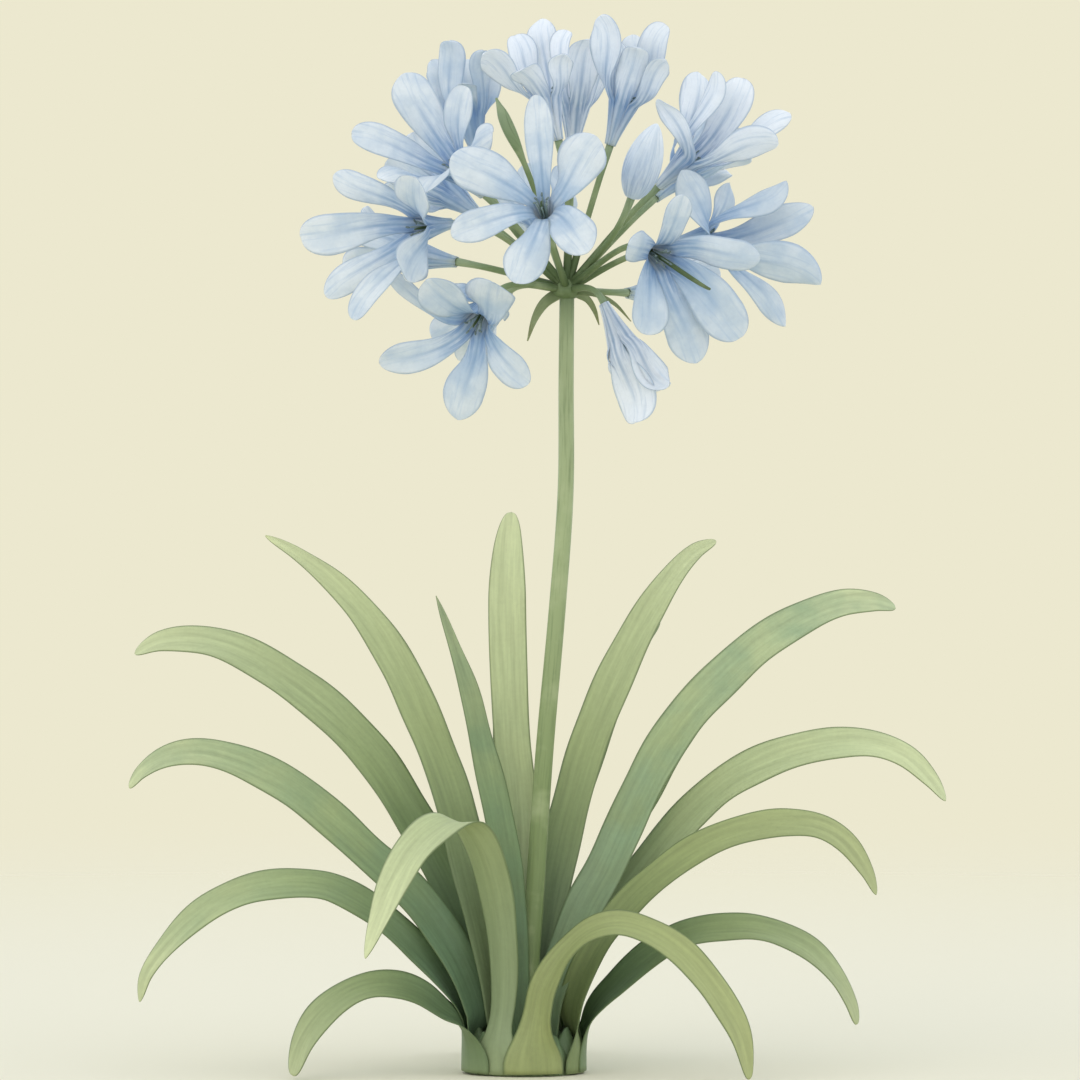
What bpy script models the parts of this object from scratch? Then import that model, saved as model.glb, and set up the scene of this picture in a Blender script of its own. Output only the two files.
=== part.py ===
"""Agapanthus plant, cut flat under its crown, so that it stands by itself.

The crown, each leaf, the flower stalk with its pedicels, each floret and the bud are solids of
their own. Lengths are in millimetres until a mesh is made, which is in metres. X is to the
viewer's right, Y is away from the viewer and Z is up. The origin is the centre of the cut face.
"""
import math

import bmesh
import bpy
from mathutils import Vector
from mathutils.geometry import interpolate_bezier

MM = 0.001
GAP = 0.3  # clearance between two solids that touch on the real plant
WELD = 0.01  # points closer than this are one point
ROUTE_DETAIL = 9  # points on a smooth route between two given ones

CROWN_WIDTH = 40.0
CROWN_DEPTH = 35.4
CROWN_HEIGHT = 11.0
CROWN_FOOT = 0.97  # width of the cut face, as a share of the width on top
CROWN_SHEATHS = 11  # leaf bases that swell round the crown
SHEATH_SWELL = 0.03  # how far they stand out, as a share of the radius
CROWN_SIDES = 44

LEAF_THICKNESS = 1.2
LEAF_ROWS = 16
LEAF_BASE_GAP = 0.8  # from the crown's top to the middle of a leaf's lowest edge
LEAF_LOW_BASE = 1.0  # the outer leaves start this high, close against the crown's side
LEAF_BASE_WIDTH = 7.4
LEAF_CHANNEL = 0.22  # depth of the fold along the middle, as a share of half the width
LEAF_FULL_WIDTH_AT = 0.32  # share of the length where a leaf reaches its full width
LEAF_TAPER_FROM = 0.58
LEAF_TAPER = (2.1, 0.85)  # the two powers that shape the taper: late, then rounded
LEAF_TIP_WIDTH = 0.09  # width of the tip's end, as a share of the full width
LEAF_TURNED_BY = 0.35  # share of the length by which a leaf has turned to the viewer
LEAF_HEADED_BY = 0.4  # share of the length by which it runs along its own heading

HUB = (15.5, 0.0, 282.6)  # centre of the stalk's swollen top
HUB_RADII = (5.6, 5.2, 3.9)
HUB_SIDES = 12
HUB_RINGS = 8
STALK_FOOT_RADIUS = 3.6
STALK_TOP_RADIUS = 2.65
STALK_ROUTE = [(0.4, 0.0, 11.5), (1.4, 0.0, 29.5), (4.0, 0.0, 65.5), (7.4, 0.0, 115.9),
               (11.9, 0.0, 166.3), (15.0, 0.0, 209.5), (15.2, 0.0, 250.0), (15.5, 0.0, 283.0)]
STALK_STEPS = 14
PEDICEL_RADIUS = 1.2
PEDICEL_END_RADIUS = 1.45
PEDICEL_STEPS = 4
PEDICEL_SPLAY = 0.35  # how far a pedicel leaves the hub outside its straight way
PEDICEL_BEND = 0.4  # length of the bend at either end, as a share of the whole
BRACT_THICKNESS = 0.7
BRACT_ROWS = 5
BRACT_TAPER = 0.85
BRACT_CHANNEL = 0.2
BRACT_FACING = (0.0, -1.0, 0.4)

TEPAL_THICKNESS = 0.7
TUBE_LENGTH = 16.0
TUBE_FOOT_RADIUS = 1.75
THROAT_RADIUS = 5.4
TUBE_ROWS = 2
TUBE_FLARE = 1.3
TEPALS = 6
TEPAL_WIDTHS = [(0.25, 0.64), (0.52, 1.04), (0.8, 1.0), (1.0, 0.42)]  # at shares of the length
TEPAL_STEPS = 40  # points that a tepal's path is read at
TEPAL_LEAVE = (0.8, 0.6)  # a path leaves the throat by so much along the axis and so much outward
TEPAL_RECURVE = (0.5, 0.25)  # and at its end leans this much outward and this much back
TEPAL_BEND = (0.36, 0.33)  # length of the bend at the throat and at the tip
TEPAL_TIP_ROUND = 1.6  # how far the middle of a tepal's end stands out past its corners
TEPAL_LAYER = 0.9  # the inner three stand this far in front of the outer three
TEPAL_CUP = 0.07  # how far a tepal's edges bend, the inner ones forward, as a share of its width
OVARY_RADIUS = 1.1  # the style thickens to this at the tube's foot
OVARY_LENGTH = 7.0
FILAMENT_RADIUS = 0.6
FILAMENT_END_RADIUS = 0.42
FILAMENT_REACH = 9.0  # how far the filaments stand out of the throat
FILAMENT_SPREAD = 3.2
FILAMENT_ROOT = 0.25  # from the style's middle to where a filament starts inside it
FILAMENT_STAGGER = 0.35  # each filament starts this much higher than the one before
FILAMENT_SIDES = 3
STYLE_REACH = 7.2
STYLE_SIDES = 4

BUD_FOOT = (23.0, -24.0, 33.0)
BUD_TIP = (32.0, -34.0, 59.4)
BUD_RADIUS = 6.0
BUD_SIDES = 12
BUD_RINGS = 9
BUD_RIBS = 0.07
BUD_BELLY = (0.75, 0.8, 0.85)  # puts the widest place low, rounds it, and scales it
BUD_NECK = 0.30  # least width at the foot, as a share of the radius

# A leaf: its full width, how far it turns its face to the viewer (0 not at all, 1 fully), and its
# route from the crown to the tip. The depths are chosen so that leaves pass clear of each other.
LEAVES = {
    "leaf_left_high": (16.5, 0.80, [
        (-12.0, 7.6), (-14.0, 10.0, 26.0), (-19.4, 13.0, 49.3), (-30.2, 17.0, 72.7), (-41.0, 20.0, 91.1),
        (-52.2, 24.0, 108.6), (-64.0, 28.0, 122.0), (-77.6, 33.0, 133.8), (-94.8, 38.0, 145.2),
        (-107.6, 42.0, 151.4), (-119.6, 46.0, 153.8), (-132.6, 49.0, 153.2), (-142.0, 51.0, 149.0)]),
    "leaf_left_mid": (15.5, 0.80, [
        (-14.5, -2.0), (-16.8, -2.2, 22.0), (-22.7, -1.5, 38.5), (-30.2, -1.0, 51.1), (-41.0, 0.0, 64.8),
        (-57.2, 2.0, 79.2), (-70.6, 4.0, 91.4), (-84.2, 5.0, 101.9), (-98.6, 6.0, 109.8),
        (-111.2, 6.0, 114.1), (-121.0, 6.0, 115.0), (-130.0, 5.0, 113.0), (-137.6, 4.0, 108.2),
        (-142.2, 3.0, 102.6)]),
    "leaf_left_low": (13.5, 0.75, [
        (-20.9, 1.6), (-23.0, 1.0, 21.5), (-31.3, -2.0, 35.6), (-41.8, -6.0, 47.9), (-55.4, -10.0, 59.5),
        (-69.1, -14.0, 66.9), (-79.6, -17.0, 68.8), (-92.9, -20.0, 68.2), (-103.3, -22.0, 65.4),
        (-115.0, -24.0, 59.2), (-126.2, -25.0, 49.0), (-134.8, -25.0, 37.6), (-137.6, -25.0, 27.6)]),
    "leaf_left_tall": (15.0, 0.80, [
        (-8.3, 0.0), (-9.7, -0.6, 29.5), (-14.0, 0.0, 51.1), (-19.4, 4.0, 72.7), (-24.8, 12.0, 93.6),
        (-28.8, 20.0, 106.2), (-37.0, 31.0, 126.0), (-46.2, 41.0, 145.0), (-57.0, 50.0, 161.2),
        (-69.2, 58.0, 174.2), (-83.2, 65.0, 184.8), (-94.8, 70.0, 191.4)]),
    "leaf_left_folded": (16.5, 0.45, [
        (-7.3, -11.3), (-7.5, -13.5, 34.9), (-9.0, -17.0, 55.6), (-12.0, -22.0, 71.8), (-16.5, -28.0, 84.6),
        (-22.2, -34.0, 91.8), (-29.8, -42.0, 91.0), (-39.2, -52.0, 82.9), (-45.4, -59.0, 72.7),
        (-50.8, -66.0, 60.2), (-56.1, -72.0, 46.6)]),
    "leaf_left_short": (12.0, 0.75, [
        (-3.9, -6.7), (-4.2, -6.8, 43.9), (-5.2, -6.2, 65.5), (-7.9, -6.0, 83.5), (-11.5, -5.0, 101.5),
        (-15.8, -3.0, 119.5), (-20.2, -1.0, 138.6), (-25.9, 2.0, 155.5), (-31.7, 5.0, 172.0)]),
    "leaf_centre": (13.5, 0.90, [
        (-3.6, 7.0), (-3.2, 8.0, 47.5), (-1.8, 9.0, 83.5), (-2.5, 9.5, 101.5), (-4.3, 10.0, 119.5),
        (-5.4, 11.0, 141.1), (-6.1, 13.0, 166.3), (-5.8, 15.0, 187.9), (-4.7, 17.0, 201.8)]),
    "leaf_left_lowest": (11.5, 0.60, [
        (-19.0, -7.8), (-23.6, -9.0, 17.6), (-30.2, -11.0, 23.8), (-37.6, -14.0, 29.4), (-45.4, -17.0, 32.2),
        (-54.7, -20.0, 32.4), (-63.4, -23.0, 29.3), (-71.8, -26.0, 22.8), (-78.2, -28.0, 13.4),
        (-82.4, -30.0, 1.4)]),
    "leaf_right_tall": (15.0, 0.80, [
        (4.2, 7.0), (4.2, 11.0, 25.9), (5.4, 14.0, 38.5), (8.6, 16.0, 56.5), (13.0, 18.0, 77.0),
        (17.6, 20.0, 96.1), (23.0, 23.0, 115.0), (29.6, 27.0, 132.2), (37.6, 33.0, 149.6),
        (45.8, 39.0, 164.8), (54.2, 44.0, 177.4), (62.4, 48.0, 186.2), (70.0, 50.0, 190.2)]),
    "leaf_right_high": (16.5, 0.80, [
        (8.3, 0.2), (9.8, 1.6, 27.0), (17.3, 3.0, 47.5), (22.7, 4.0, 60.1), (29.5, 5.0, 72.4),
        (36.0, 7.0, 86.4), (42.5, 9.0, 100.4), (50.8, 12.0, 115.6), (60.7, 15.0, 129.4), (72.3, 18.0, 141.2),
        (85.8, 21.0, 153.2), (100.3, 24.0, 162.0), (114.6, 27.0, 167.8), (126.9, 29.0, 168.4),
        (134.8, 30.0, 166.4)]),
    "leaf_right_mid": (15.5, 0.80, [
        (12.8, 6.2), (17.4, 8.2, 29.5), (27.4, 10.0, 49.3), (36.4, 11.0, 61.9), (44.6, 12.0, 72.7),
        (52.6, 12.0, 83.5), (61.9, 11.0, 93.6), (73.4, 8.0, 103.7), (86.0, 4.0, 110.9), (99.4, 0.0, 115.9),
        (113.0, -4.0, 118.6), (126.2, -7.0, 118.4), (137.2, -9.0, 114.3), (145.9, -10.0, 106.4),
        (151.5, -11.0, 98.8)]),
    "leaf_right_low": (12.8, 0.80, [
        (14.4, -3.2), (18.9, -5.2, 29.5), (27.4, -7.0, 47.9), (38.2, -9.0, 61.6), (48.2, -12.0, 71.1),
        (59.6, -15.0, 79.8), (71.0, -18.0, 85.8), (82.8, -21.0, 89.6), (94.2, -24.0, 91.2),
        (106.0, -26.0, 90.0), (115.2, -28.0, 84.4), (122.4, -29.0, 74.6), (126.0, -30.0, 66.3)]),
    "leaf_right_lower": (12.8, 0.60, [
        (20.9, 1.6), (25.4, 1.0, 21.5), (34.6, 0.0, 32.5), (45.4, -1.0, 42.3), (56.2, -3.0, 48.9),
        (63.4, -4.0, 51.1), (72.4, -5.0, 52.2), (82.1, -6.0, 52.3), (92.1, -8.0, 50.0), (103.1, -10.0, 44.4),
        (111.7, -12.0, 35.6), (117.0, -13.0, 26.4), (119.5, -14.0, 18.6)]),
    "leaf_right_folded": (13.5, 0.60, [
        (3.6, -18.2), (6.8, -20.0, 28.6), (10.4, -22.0, 37.6), (16.6, -25.0, 46.4), (24.5, -28.0, 53.0),
        (34.4, -32.0, 55.4), (45.0, -36.0, 52.6), (54.8, -39.0, 46.8), (62.7, -42.0, 38.8),
        (70.4, -45.0, 28.6), (76.8, -47.0, 16.8), (80.2, -48.0, 1.6)]),
    "leaf_back_left_high": (14.0, 0.30, [
        (-15.9, 12.8), (-17.5, 16.0, 27.0), (-23.5, 26.0, 50.0), (-32.0, 40.0, 73.0), (-43.0, 52.0, 91.0),
        (-54.0, 63.0, 107.0), (-66.0, 73.0, 120.0), (-78.0, 82.0, 130.0), (-88.0, 89.0, 135.0)]),
    "leaf_back_centre": (13.0, 0.30, [
        (-2.0, 12.9), (-5.2, 19.0, 40.0), (-5.2, 27.0, 80.0), (-5.0, 36.0, 118.0), (-6.0, 46.0, 148.0),
        (-7.0, 58.0, 170.0), (-7.0, 70.0, 182.0)]),
    "leaf_back_right_tall": (13.5, 0.30, [
        (6.2, 11.9), (6.6, 16.0, 28.0), (9.0, 22.5, 50.0), (13.6, 31.0, 77.0), (19.4, 41.0, 98.0),
        (26.6, 52.0, 119.0), (34.4, 62.0, 137.0), (42.4, 71.0, 151.0), (49.6, 79.0, 160.0)]),
    "leaf_back_right_high": (14.0, 0.30, [
        (14.8, 13.1), (16.0, 17.0, 28.0), (20.6, 26.0, 48.0), (29.6, 38.0, 70.0), (38.0, 49.0, 86.0),
        (46.0, 59.0, 99.0), (54.8, 69.0, 114.0), (64.8, 78.0, 126.0), (74.6, 86.0, 136.0),
        (83.0, 92.0, 142.0)]),
    "leaf_back_right_lowest": (13.0, 0.0, [
        (4.6, 18.2), (5.0, 24.0, 36.0), (6.0, 34.0, 55.0), (7.0, 48.0, 66.0), (9.0, 64.0, 67.0),
        (10.0, 80.0, 57.0), (11.0, 92.0, 40.0), (12.0, 100.0, 20.0), (12.0, 104.0, 1.6)]),
    "leaf_back_left_lowest": (12.5, 0.0, [
        (-5.4, 18.3), (-7.5, 24.0, 32.0), (-9.0, 36.0, 47.0), (-11.0, 50.0, 54.0), (-13.0, 64.0, 52.0),
        (-15.0, 77.0, 41.0), (-16.0, 87.0, 24.0), (-17.0, 93.0, 1.6)]),
}

# A floret in full bloom: its throat seen from the hub, the way it faces, and each tepal's tip seen
# from the throat, with that tepal's width.
OPEN_FLORETS = {
    "floret_front": ((-8.6, -62.0, 29.2), (-0.10, -0.90, 0.42), [
        (-2.2, 3.0, 38.5, 9.5), (-31.3, -2.0, 18.0, 16.0), (-31.0, -12.0, -9.0, 11.0),
        (-8.6, -20.0, -24.5, 14.0), (15.5, -21.0, -14.4, 14.5), (17.6, -5.0, 24.8, 16.0)]),
    "floret_left": ((-52.9, -40.0, 22.0), (-0.72, -0.68, -0.10), [
        (-29.9, 10.0, 18.4, 10.0), (-40.3, 6.0, -2.9, 13.5), (-32.4, 0.0, -23.0, 10.0),
        (-22.0, -14.0, -31.0, 10.0), (-1.0, -26.0, -14.0, 13.5), (-0.7, -20.0, 17.6, 14.5)]),
    "floret_left_upper": ((-40.3, -30.0, 44.0), (-0.65, -0.45, 0.60), [
        (-34.9, 0.0, 11.2, 10.5), (-18.0, 8.0, 32.4, 14.5), (4.0, -2.0, 27.0, 11.0),
        (12.0, -18.0, 12.0, 11.0), (-10.0, -27.0, -6.0, 12.0), (-25.0, -20.0, -3.0, 10.0)]),
    "floret_left_top": ((-35.0, 12.0, 62.0), (-0.20, 0.30, 0.93), [
        (-7.5, -5.0, 25.5, 11.0), (5.0, -9.0, 22.0, 8.0), (-13.0, 10.0, 20.0, 10.0),
        (-2.0, 18.0, 19.0, 10.0), (9.0, 9.0, 18.0, 9.0), (-3.0, -15.0, 12.0, 9.0)]),
    "floret_top": ((-7.2, -12.0, 69.1), (-0.25, -0.10, 0.95), [
        (-21.6, -10.0, 15.5, 14.0), (-11.2, 9.0, 20.2, 10.0), (-2.2, 12.0, 27.4, 10.0),
        (7.0, 7.0, 22.0, 9.0), (5.0, -11.0, 15.0, 9.0), (-9.0, -17.0, 8.0, 10.0)]),
    "floret_top_right": ((2.9, 24.0, 65.5), (0.05, 0.10, 0.98), [
        (4.7, -8.0, 23.8, 12.0), (-10.4, -5.0, 16.0, 6.5), (10.0, 8.0, 20.0, 10.0),
        (-2.0, 15.0, 19.0, 10.0), (13.0, -1.0, 17.0, 9.0), (-10.0, 6.0, 19.0, 9.0)]),
    "floret_right_top": ((20.4, -8.0, 67.0), (0.30, -0.12, 0.93), [
        (-7.4, -2.0, 30.0, 13.0), (14.4, 0.0, 26.2, 12.0), (4.0, 13.0, 24.0, 10.0),
        (-4.0, 10.0, 20.0, 9.0), (4.0, -13.0, 18.0, 10.0), (14.0, -9.0, 15.0, 9.0)]),
    "floret_right_upper": ((44.3, -12.0, 47.5), (0.70, -0.25, 0.65), [
        (-10.6, -10.0, 20.0, 7.0), (3.6, 12.0, 29.5, 13.0), (8.5, -7.0, 29.0, 8.0),
        (18.0, 6.0, 26.5, 12.0), (34.9, 4.0, 15.5, 9.0), (29.5, -9.0, 4.7, 12.0)]),
    "floret_right_front": ((33.5, -55.0, 11.9), (0.35, -0.90, -0.20), [
        (6.8, -12.0, 21.2, 8.5), (-7.9, -23.0, 0.7, 9.0), (33.5, -3.0, -0.4, 11.0),
        (27.0, 2.0, -27.0, 14.0), (11.9, 0.0, -36.0, 11.0), (-6.1, -12.0, -25.6, 12.5)]),
    "floret_right": ((50.8, -8.0, 18.0), (0.90, -0.22, 0.15), [
        (-8.6, -13.0, 23.4, 12.0), (8.2, 12.0, 19.0, 8.5), (26.6, -4.0, 20.0, 10.0),
        (36.0, 8.0, 10.8, 11.0), (38.6, -7.0, -15.5, 15.0), (27.7, 8.0, -30.0, 10.0)]),
    "floret_drooping": ((19.8, -24.0, -19.0), (0.40, -0.25, -0.87), [
        (5.4, -4.0, -26.4, 12.5), (15.0, -1.0, -17.0, 10.0), (10.0, -10.0, -20.0, 9.0),
        (10.0, 7.0, -19.0, 9.0), (0.0, 6.0, -21.0, 9.0), (0.0, -9.0, -19.0, 9.0)]),
    "floret_left_lower": ((-32.8, -38.0, -11.9), (-0.35, -0.75, -0.55), [
        (-32.4, 6.0, -13.7, 10.5), (-6.5, 4.0, -33.1, 14.0), (18.4, -12.0, -19.8, 12.0),
        (-32.0, 3.0, 18.0, 6.0), (-20.0, -13.0, 16.0, 12.0), (1.4, -20.0, 16.0, 12.0)]),
}

# The florets at the back of the head are half open: throat, facing and turn of the first tepal.
BACK_FLORETS = {
    "floret_back": ((-8.0, 56.0, 24.0), (-0.10, 0.92, 0.36), 10.0),
    "floret_back_left_lower": ((-28.0, 42.0, -6.0), (-0.42, 0.82, -0.30), 40.0),
    "floret_back_right_lower": ((32.0, 42.0, -2.0), (0.62, 0.76, -0.02), 25.0),
    "floret_back_left_upper": ((-42.0, 40.0, 34.0), (-0.62, 0.60, 0.46), 5.0),
    "floret_back_right_upper": ((42.0, 36.0, 42.0), (0.62, 0.52, 0.58), 50.0),
    "floret_back_far_left": ((-54.0, 18.0, 12.0), (-0.88, 0.42, 0.14), 30.0),
}
BACK_TEPAL_REACH = 21.0
BACK_TEPAL_SPREAD = 14.0
BACK_TEPAL_WIDTH = 10.5

# The papery bracts under the head, seen from the hub.
BRACTS = [
    (4.5, [(-3.0, -1.0, -1.5), (-8.0, -2.5, -5.0), (-11.5, -3.5, -10.5), (-14.2, -4.0, -18.6)]),
    (3.5, [(3.5, 1.5, -1.5), (7.5, 5.5, -4.0), (10.0, 8.0, -8.0), (11.6, 9.5, -13.0)]),
]

MATERIALS = {
    "crown": ("crown_green", (0.30, 0.36, 0.17), 0.55),
    "leaf": ("leaf_green", (0.26, 0.36, 0.15), 0.48),
    "scape": ("stalk_green", (0.22, 0.30, 0.12), 0.50),
    "floret": ("tepal_blue", (0.52, 0.62, 0.82), 0.42),
}


def clear_objects():
    for item in list(bpy.data.objects):
        bpy.data.objects.remove(item, do_unlink=True)


def new_collection(name):
    made = bpy.data.collections.new(name)
    bpy.context.scene.collection.children.link(made)
    return made


def new_material(name, colour, roughness):
    material = bpy.data.materials.new(name)
    material.use_nodes = True
    shader = material.node_tree.nodes["Principled BSDF"]
    shader.inputs["Base Color"].default_value = (*colour, 1.0)
    shader.inputs["Roughness"].default_value = roughness
    shader.inputs["Metallic"].default_value = 0.0
    return material


def add_mesh(name, bm, collection):
    """Turn a bmesh in millimetres into an object in metres."""
    bmesh.ops.scale(bm, vec=(MM, MM, MM), verts=bm.verts)
    mesh = bpy.data.meshes.new(name)
    bm.to_mesh(mesh)
    bm.free()
    mesh.shade_smooth()
    made = bpy.data.objects.new(name, mesh)
    collection.objects.link(made)
    return made


def apply_modifiers(item):
    """Replace an object's mesh by what its modifiers make of it."""
    evaluated = item.evaluated_get(bpy.context.evaluated_depsgraph_get())
    mesh = bpy.data.meshes.new_from_object(evaluated)
    item.modifiers.clear()
    item.data = mesh


def thicken(item, thickness):
    """Give an open surface its thickness, half on each side."""
    solid = item.modifiers.new("thickness", "SOLIDIFY")
    solid.thickness = thickness * MM
    solid.offset = 0.0


def smooth_step(value):
    value = min(max(value, 0.0), 1.0)
    return value * value * (3.0 - 2.0 * value)


def smooth_route(points, steps):
    """Points at even distances along a smooth curve through the given ones."""
    points = [Vector(p) for p in points]
    slopes = []
    for i, point in enumerate(points):
        before = points[max(i - 1, 0)]
        after = points[min(i + 1, len(points) - 1)]
        slopes.append((after - before).normalized())
    dense = [points[0]]
    for i in range(len(points) - 1):
        third = (points[i + 1] - points[i]).length / 3.0
        dense += interpolate_bezier(points[i], points[i] + slopes[i] * third,
                                    points[i + 1] - slopes[i + 1] * third, points[i + 1],
                                    ROUTE_DETAIL)[1:]
    reach = [0.0]
    for a, b in zip(dense, dense[1:]):
        reach.append(reach[-1] + (b - a).length)
    route = []
    piece = 0
    for step in range(steps + 1):
        wanted = reach[-1] * step / steps
        while piece < len(dense) - 2 and reach[piece + 1] < wanted:
            piece += 1
        share = (wanted - reach[piece]) / (reach[piece + 1] - reach[piece])
        route.append(dense[piece].lerp(dense[piece + 1], min(share, 1.0)))
    return route


def tangents(route):
    last = len(route) - 1
    return [(route[min(i + 1, last)] - route[max(i - 1, 0)]).normalized() for i in range(last + 1)]


def leaf_half_width(along, full):
    """Half the width of a strap leaf at a share of its length."""
    grown = LEAF_BASE_WIDTH + (full - LEAF_BASE_WIDTH) * smooth_step(along / LEAF_FULL_WIDTH_AT)
    if along > LEAF_TAPER_FROM:
        late, rounded = LEAF_TAPER
        left = (along - LEAF_TAPER_FROM) / (1.0 - LEAF_TAPER_FROM)
        grown *= max((1.0 - left ** late) ** rounded, LEAF_TIP_WIDTH)
    return grown / 2.0


def strap(rows, route, half_width, normals, channel):
    """A flat grid bent along a route, hollowed a little along its middle."""
    bm = bmesh.new()
    bmesh.ops.create_grid(bm, x_segments=2, y_segments=rows, size=1.0)
    bmesh.ops.triangulate(bm, faces=bm.faces)
    ways = tangents(route)
    for vert in bm.verts:
        row = round((vert.co.y + 1.0) / 2.0 * rows)
        normal = normals[row] - ways[row] * normals[row].dot(ways[row])
        normal.normalize()
        side = normal.cross(ways[row])
        half = half_width(row / rows)
        lift = channel * half * abs(vert.co.x)
        vert.co = route[row] + side * (vert.co.x * half) + normal * lift
    return bm


def leaf_foot(x, y):
    """The outer leaves wrap the crown from low down, the others stand on its top."""
    outside = math.hypot(x / (CROWN_WIDTH / 2.0), y / (CROWN_DEPTH / 2.0)) > 1.0
    return x, y, LEAF_LOW_BASE if outside else CROWN_HEIGHT + LEAF_BASE_GAP


def make_leaf(name, width, facing, points, collection):
    points = [leaf_foot(*points[0])] + points[1:]
    route = smooth_route(points, LEAF_ROWS)
    outward = Vector((points[0][0], points[0][1], 0.0)).normalized()
    heading = Vector((route[-1].x - route[0].x, route[-1].y - route[0].y, 0.0)).normalized()
    viewer = Vector((0.0, -1.0, 0.0))
    normals = []
    for row, way in enumerate(tangents(route)):
        along = row / LEAF_ROWS
        away = outward.lerp(heading, smooth_step(along / LEAF_HEADED_BY)).normalized()
        upper = way.cross(Vector((0.0, 0.0, 1.0)).cross(away)).normalized()
        turn = facing * smooth_step(along / LEAF_TURNED_BY)
        normals.append(viewer * turn + upper * math.sqrt(1.0 - turn * turn))
    bm = strap(LEAF_ROWS, route, lambda along: leaf_half_width(along, width), normals, LEAF_CHANNEL)
    leaf = add_mesh(name, bm, collection)
    thicken(leaf, LEAF_THICKNESS)
    return leaf


def make_crown(collection):
    """A short stock, swollen all round by the leaf bases that wrap it."""
    bm = bmesh.new()
    bmesh.ops.create_cone(bm, cap_ends=True, segments=CROWN_SIDES, radius1=CROWN_FOOT, radius2=1.0,
                          depth=CROWN_HEIGHT)
    for vert in bm.verts:
        angle = math.atan2(vert.co.y, vert.co.x)
        swell = 1.0 + SHEATH_SWELL * (abs(math.sin(CROWN_SHEATHS * angle / 2.0)) - 1.0)
        vert.co.x *= swell * CROWN_WIDTH / 2.0
        vert.co.y *= swell * CROWN_DEPTH / 2.0
        vert.co.z += CROWN_HEIGHT / 2.0
    return add_mesh("crown", bm, collection)


def make_rod(name, route, radii, sides_each_quarter, collection):
    """A round rod along a route, as a closed mesh."""
    curve = bpy.data.curves.new(name, "CURVE")
    curve.dimensions = "3D"
    curve.bevel_depth = MM
    curve.bevel_resolution = sides_each_quarter
    curve.use_fill_caps = True
    spline = curve.splines.new("POLY")
    spline.points.add(len(route) - 1)
    for point, place, radius in zip(spline.points, route, radii):
        point.co = (*(place * MM), 1.0)
        point.radius = radius
    guide = bpy.data.objects.new(name + "_guide", curve)
    collection.objects.link(guide)
    evaluated = guide.evaluated_get(bpy.context.evaluated_depsgraph_get())
    mesh = bpy.data.meshes.new_from_object(evaluated)
    bm = bmesh.new()
    bm.from_mesh(mesh)
    bmesh.ops.remove_doubles(bm, verts=bm.verts, dist=WELD * MM)
    bmesh.ops.recalc_face_normals(bm, faces=bm.faces)
    bm.to_mesh(mesh)
    bm.free()
    mesh.shade_smooth()
    rod = bpy.data.objects.new(name, mesh)
    rod.matrix_world = guide.matrix_world.copy()
    collection.objects.link(rod)
    bpy.data.objects.remove(guide, do_unlink=True)
    return rod


def make_needle(name, start, end, radius, sides, collection):
    """A straight slim cone, cut off at its thin end."""
    bm = bmesh.new()
    way = end - start
    bmesh.ops.create_cone(bm, cap_ends=True, segments=sides, radius1=radius, radius2=FILAMENT_END_RADIUS,
                          depth=way.length)
    bmesh.ops.transform(bm, matrix=way.to_track_quat("Z", "Y").to_matrix().to_4x4(), verts=bm.verts)
    bmesh.ops.translate(bm, vec=start.lerp(end, 0.5), verts=bm.verts)
    return add_mesh(name, bm, collection)


def drop_scraps(item):
    """Keep the largest piece of a mesh, where faces hang together across plain edges."""
    bm = bmesh.new()
    bm.from_mesh(item.data)
    waiting = set(bm.faces)
    pieces = []
    while waiting:
        piece = []
        front = [waiting.pop()]
        while front:
            face = front.pop()
            piece.append(face)
            for edge in face.edges:
                if len(edge.link_faces) != 2:
                    continue
                for other in edge.link_faces:
                    if other in waiting:
                        waiting.remove(other)
                        front.append(other)
        pieces.append(piece)
    pieces.sort(key=len)
    for piece in pieces[:-1]:
        bmesh.ops.delete(bm, geom=piece, context="FACES")
    bm.to_mesh(item.data)
    bm.free()


def fuse(item, extras):
    """Join the other solids to the first one, and remove them."""
    joined = bpy.data.collections.new(item.name + "_joined")
    bpy.context.scene.collection.children.link(joined)
    for extra in extras:
        for home in list(extra.users_collection):
            home.objects.unlink(extra)
        joined.objects.link(extra)
    union = item.modifiers.new("union", "BOOLEAN")
    union.operation = "UNION"
    union.operand_type = "COLLECTION"
    union.collection = joined
    union.solver = "EXACT"
    apply_modifiers(item)
    drop_scraps(item)
    for extra in list(joined.objects):
        bpy.data.objects.remove(extra, do_unlink=True)
    bpy.data.collections.remove(joined)
    item.data.shade_smooth()
    return item


def pedicel_route(foot, axis):
    """From inside the hub, bending until it meets the foot of a floret along its axis."""
    hub = Vector(HUB)
    end = hub + foot - axis * (GAP + TEPAL_THICKNESS)
    reach = (end - hub).length
    leave = (end - hub).normalized().lerp(axis, -PEDICEL_SPLAY).normalized()
    bend = reach * PEDICEL_BEND
    return interpolate_bezier(hub, hub + leave * bend, end - axis * bend, end, PEDICEL_STEPS + 1)


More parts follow.
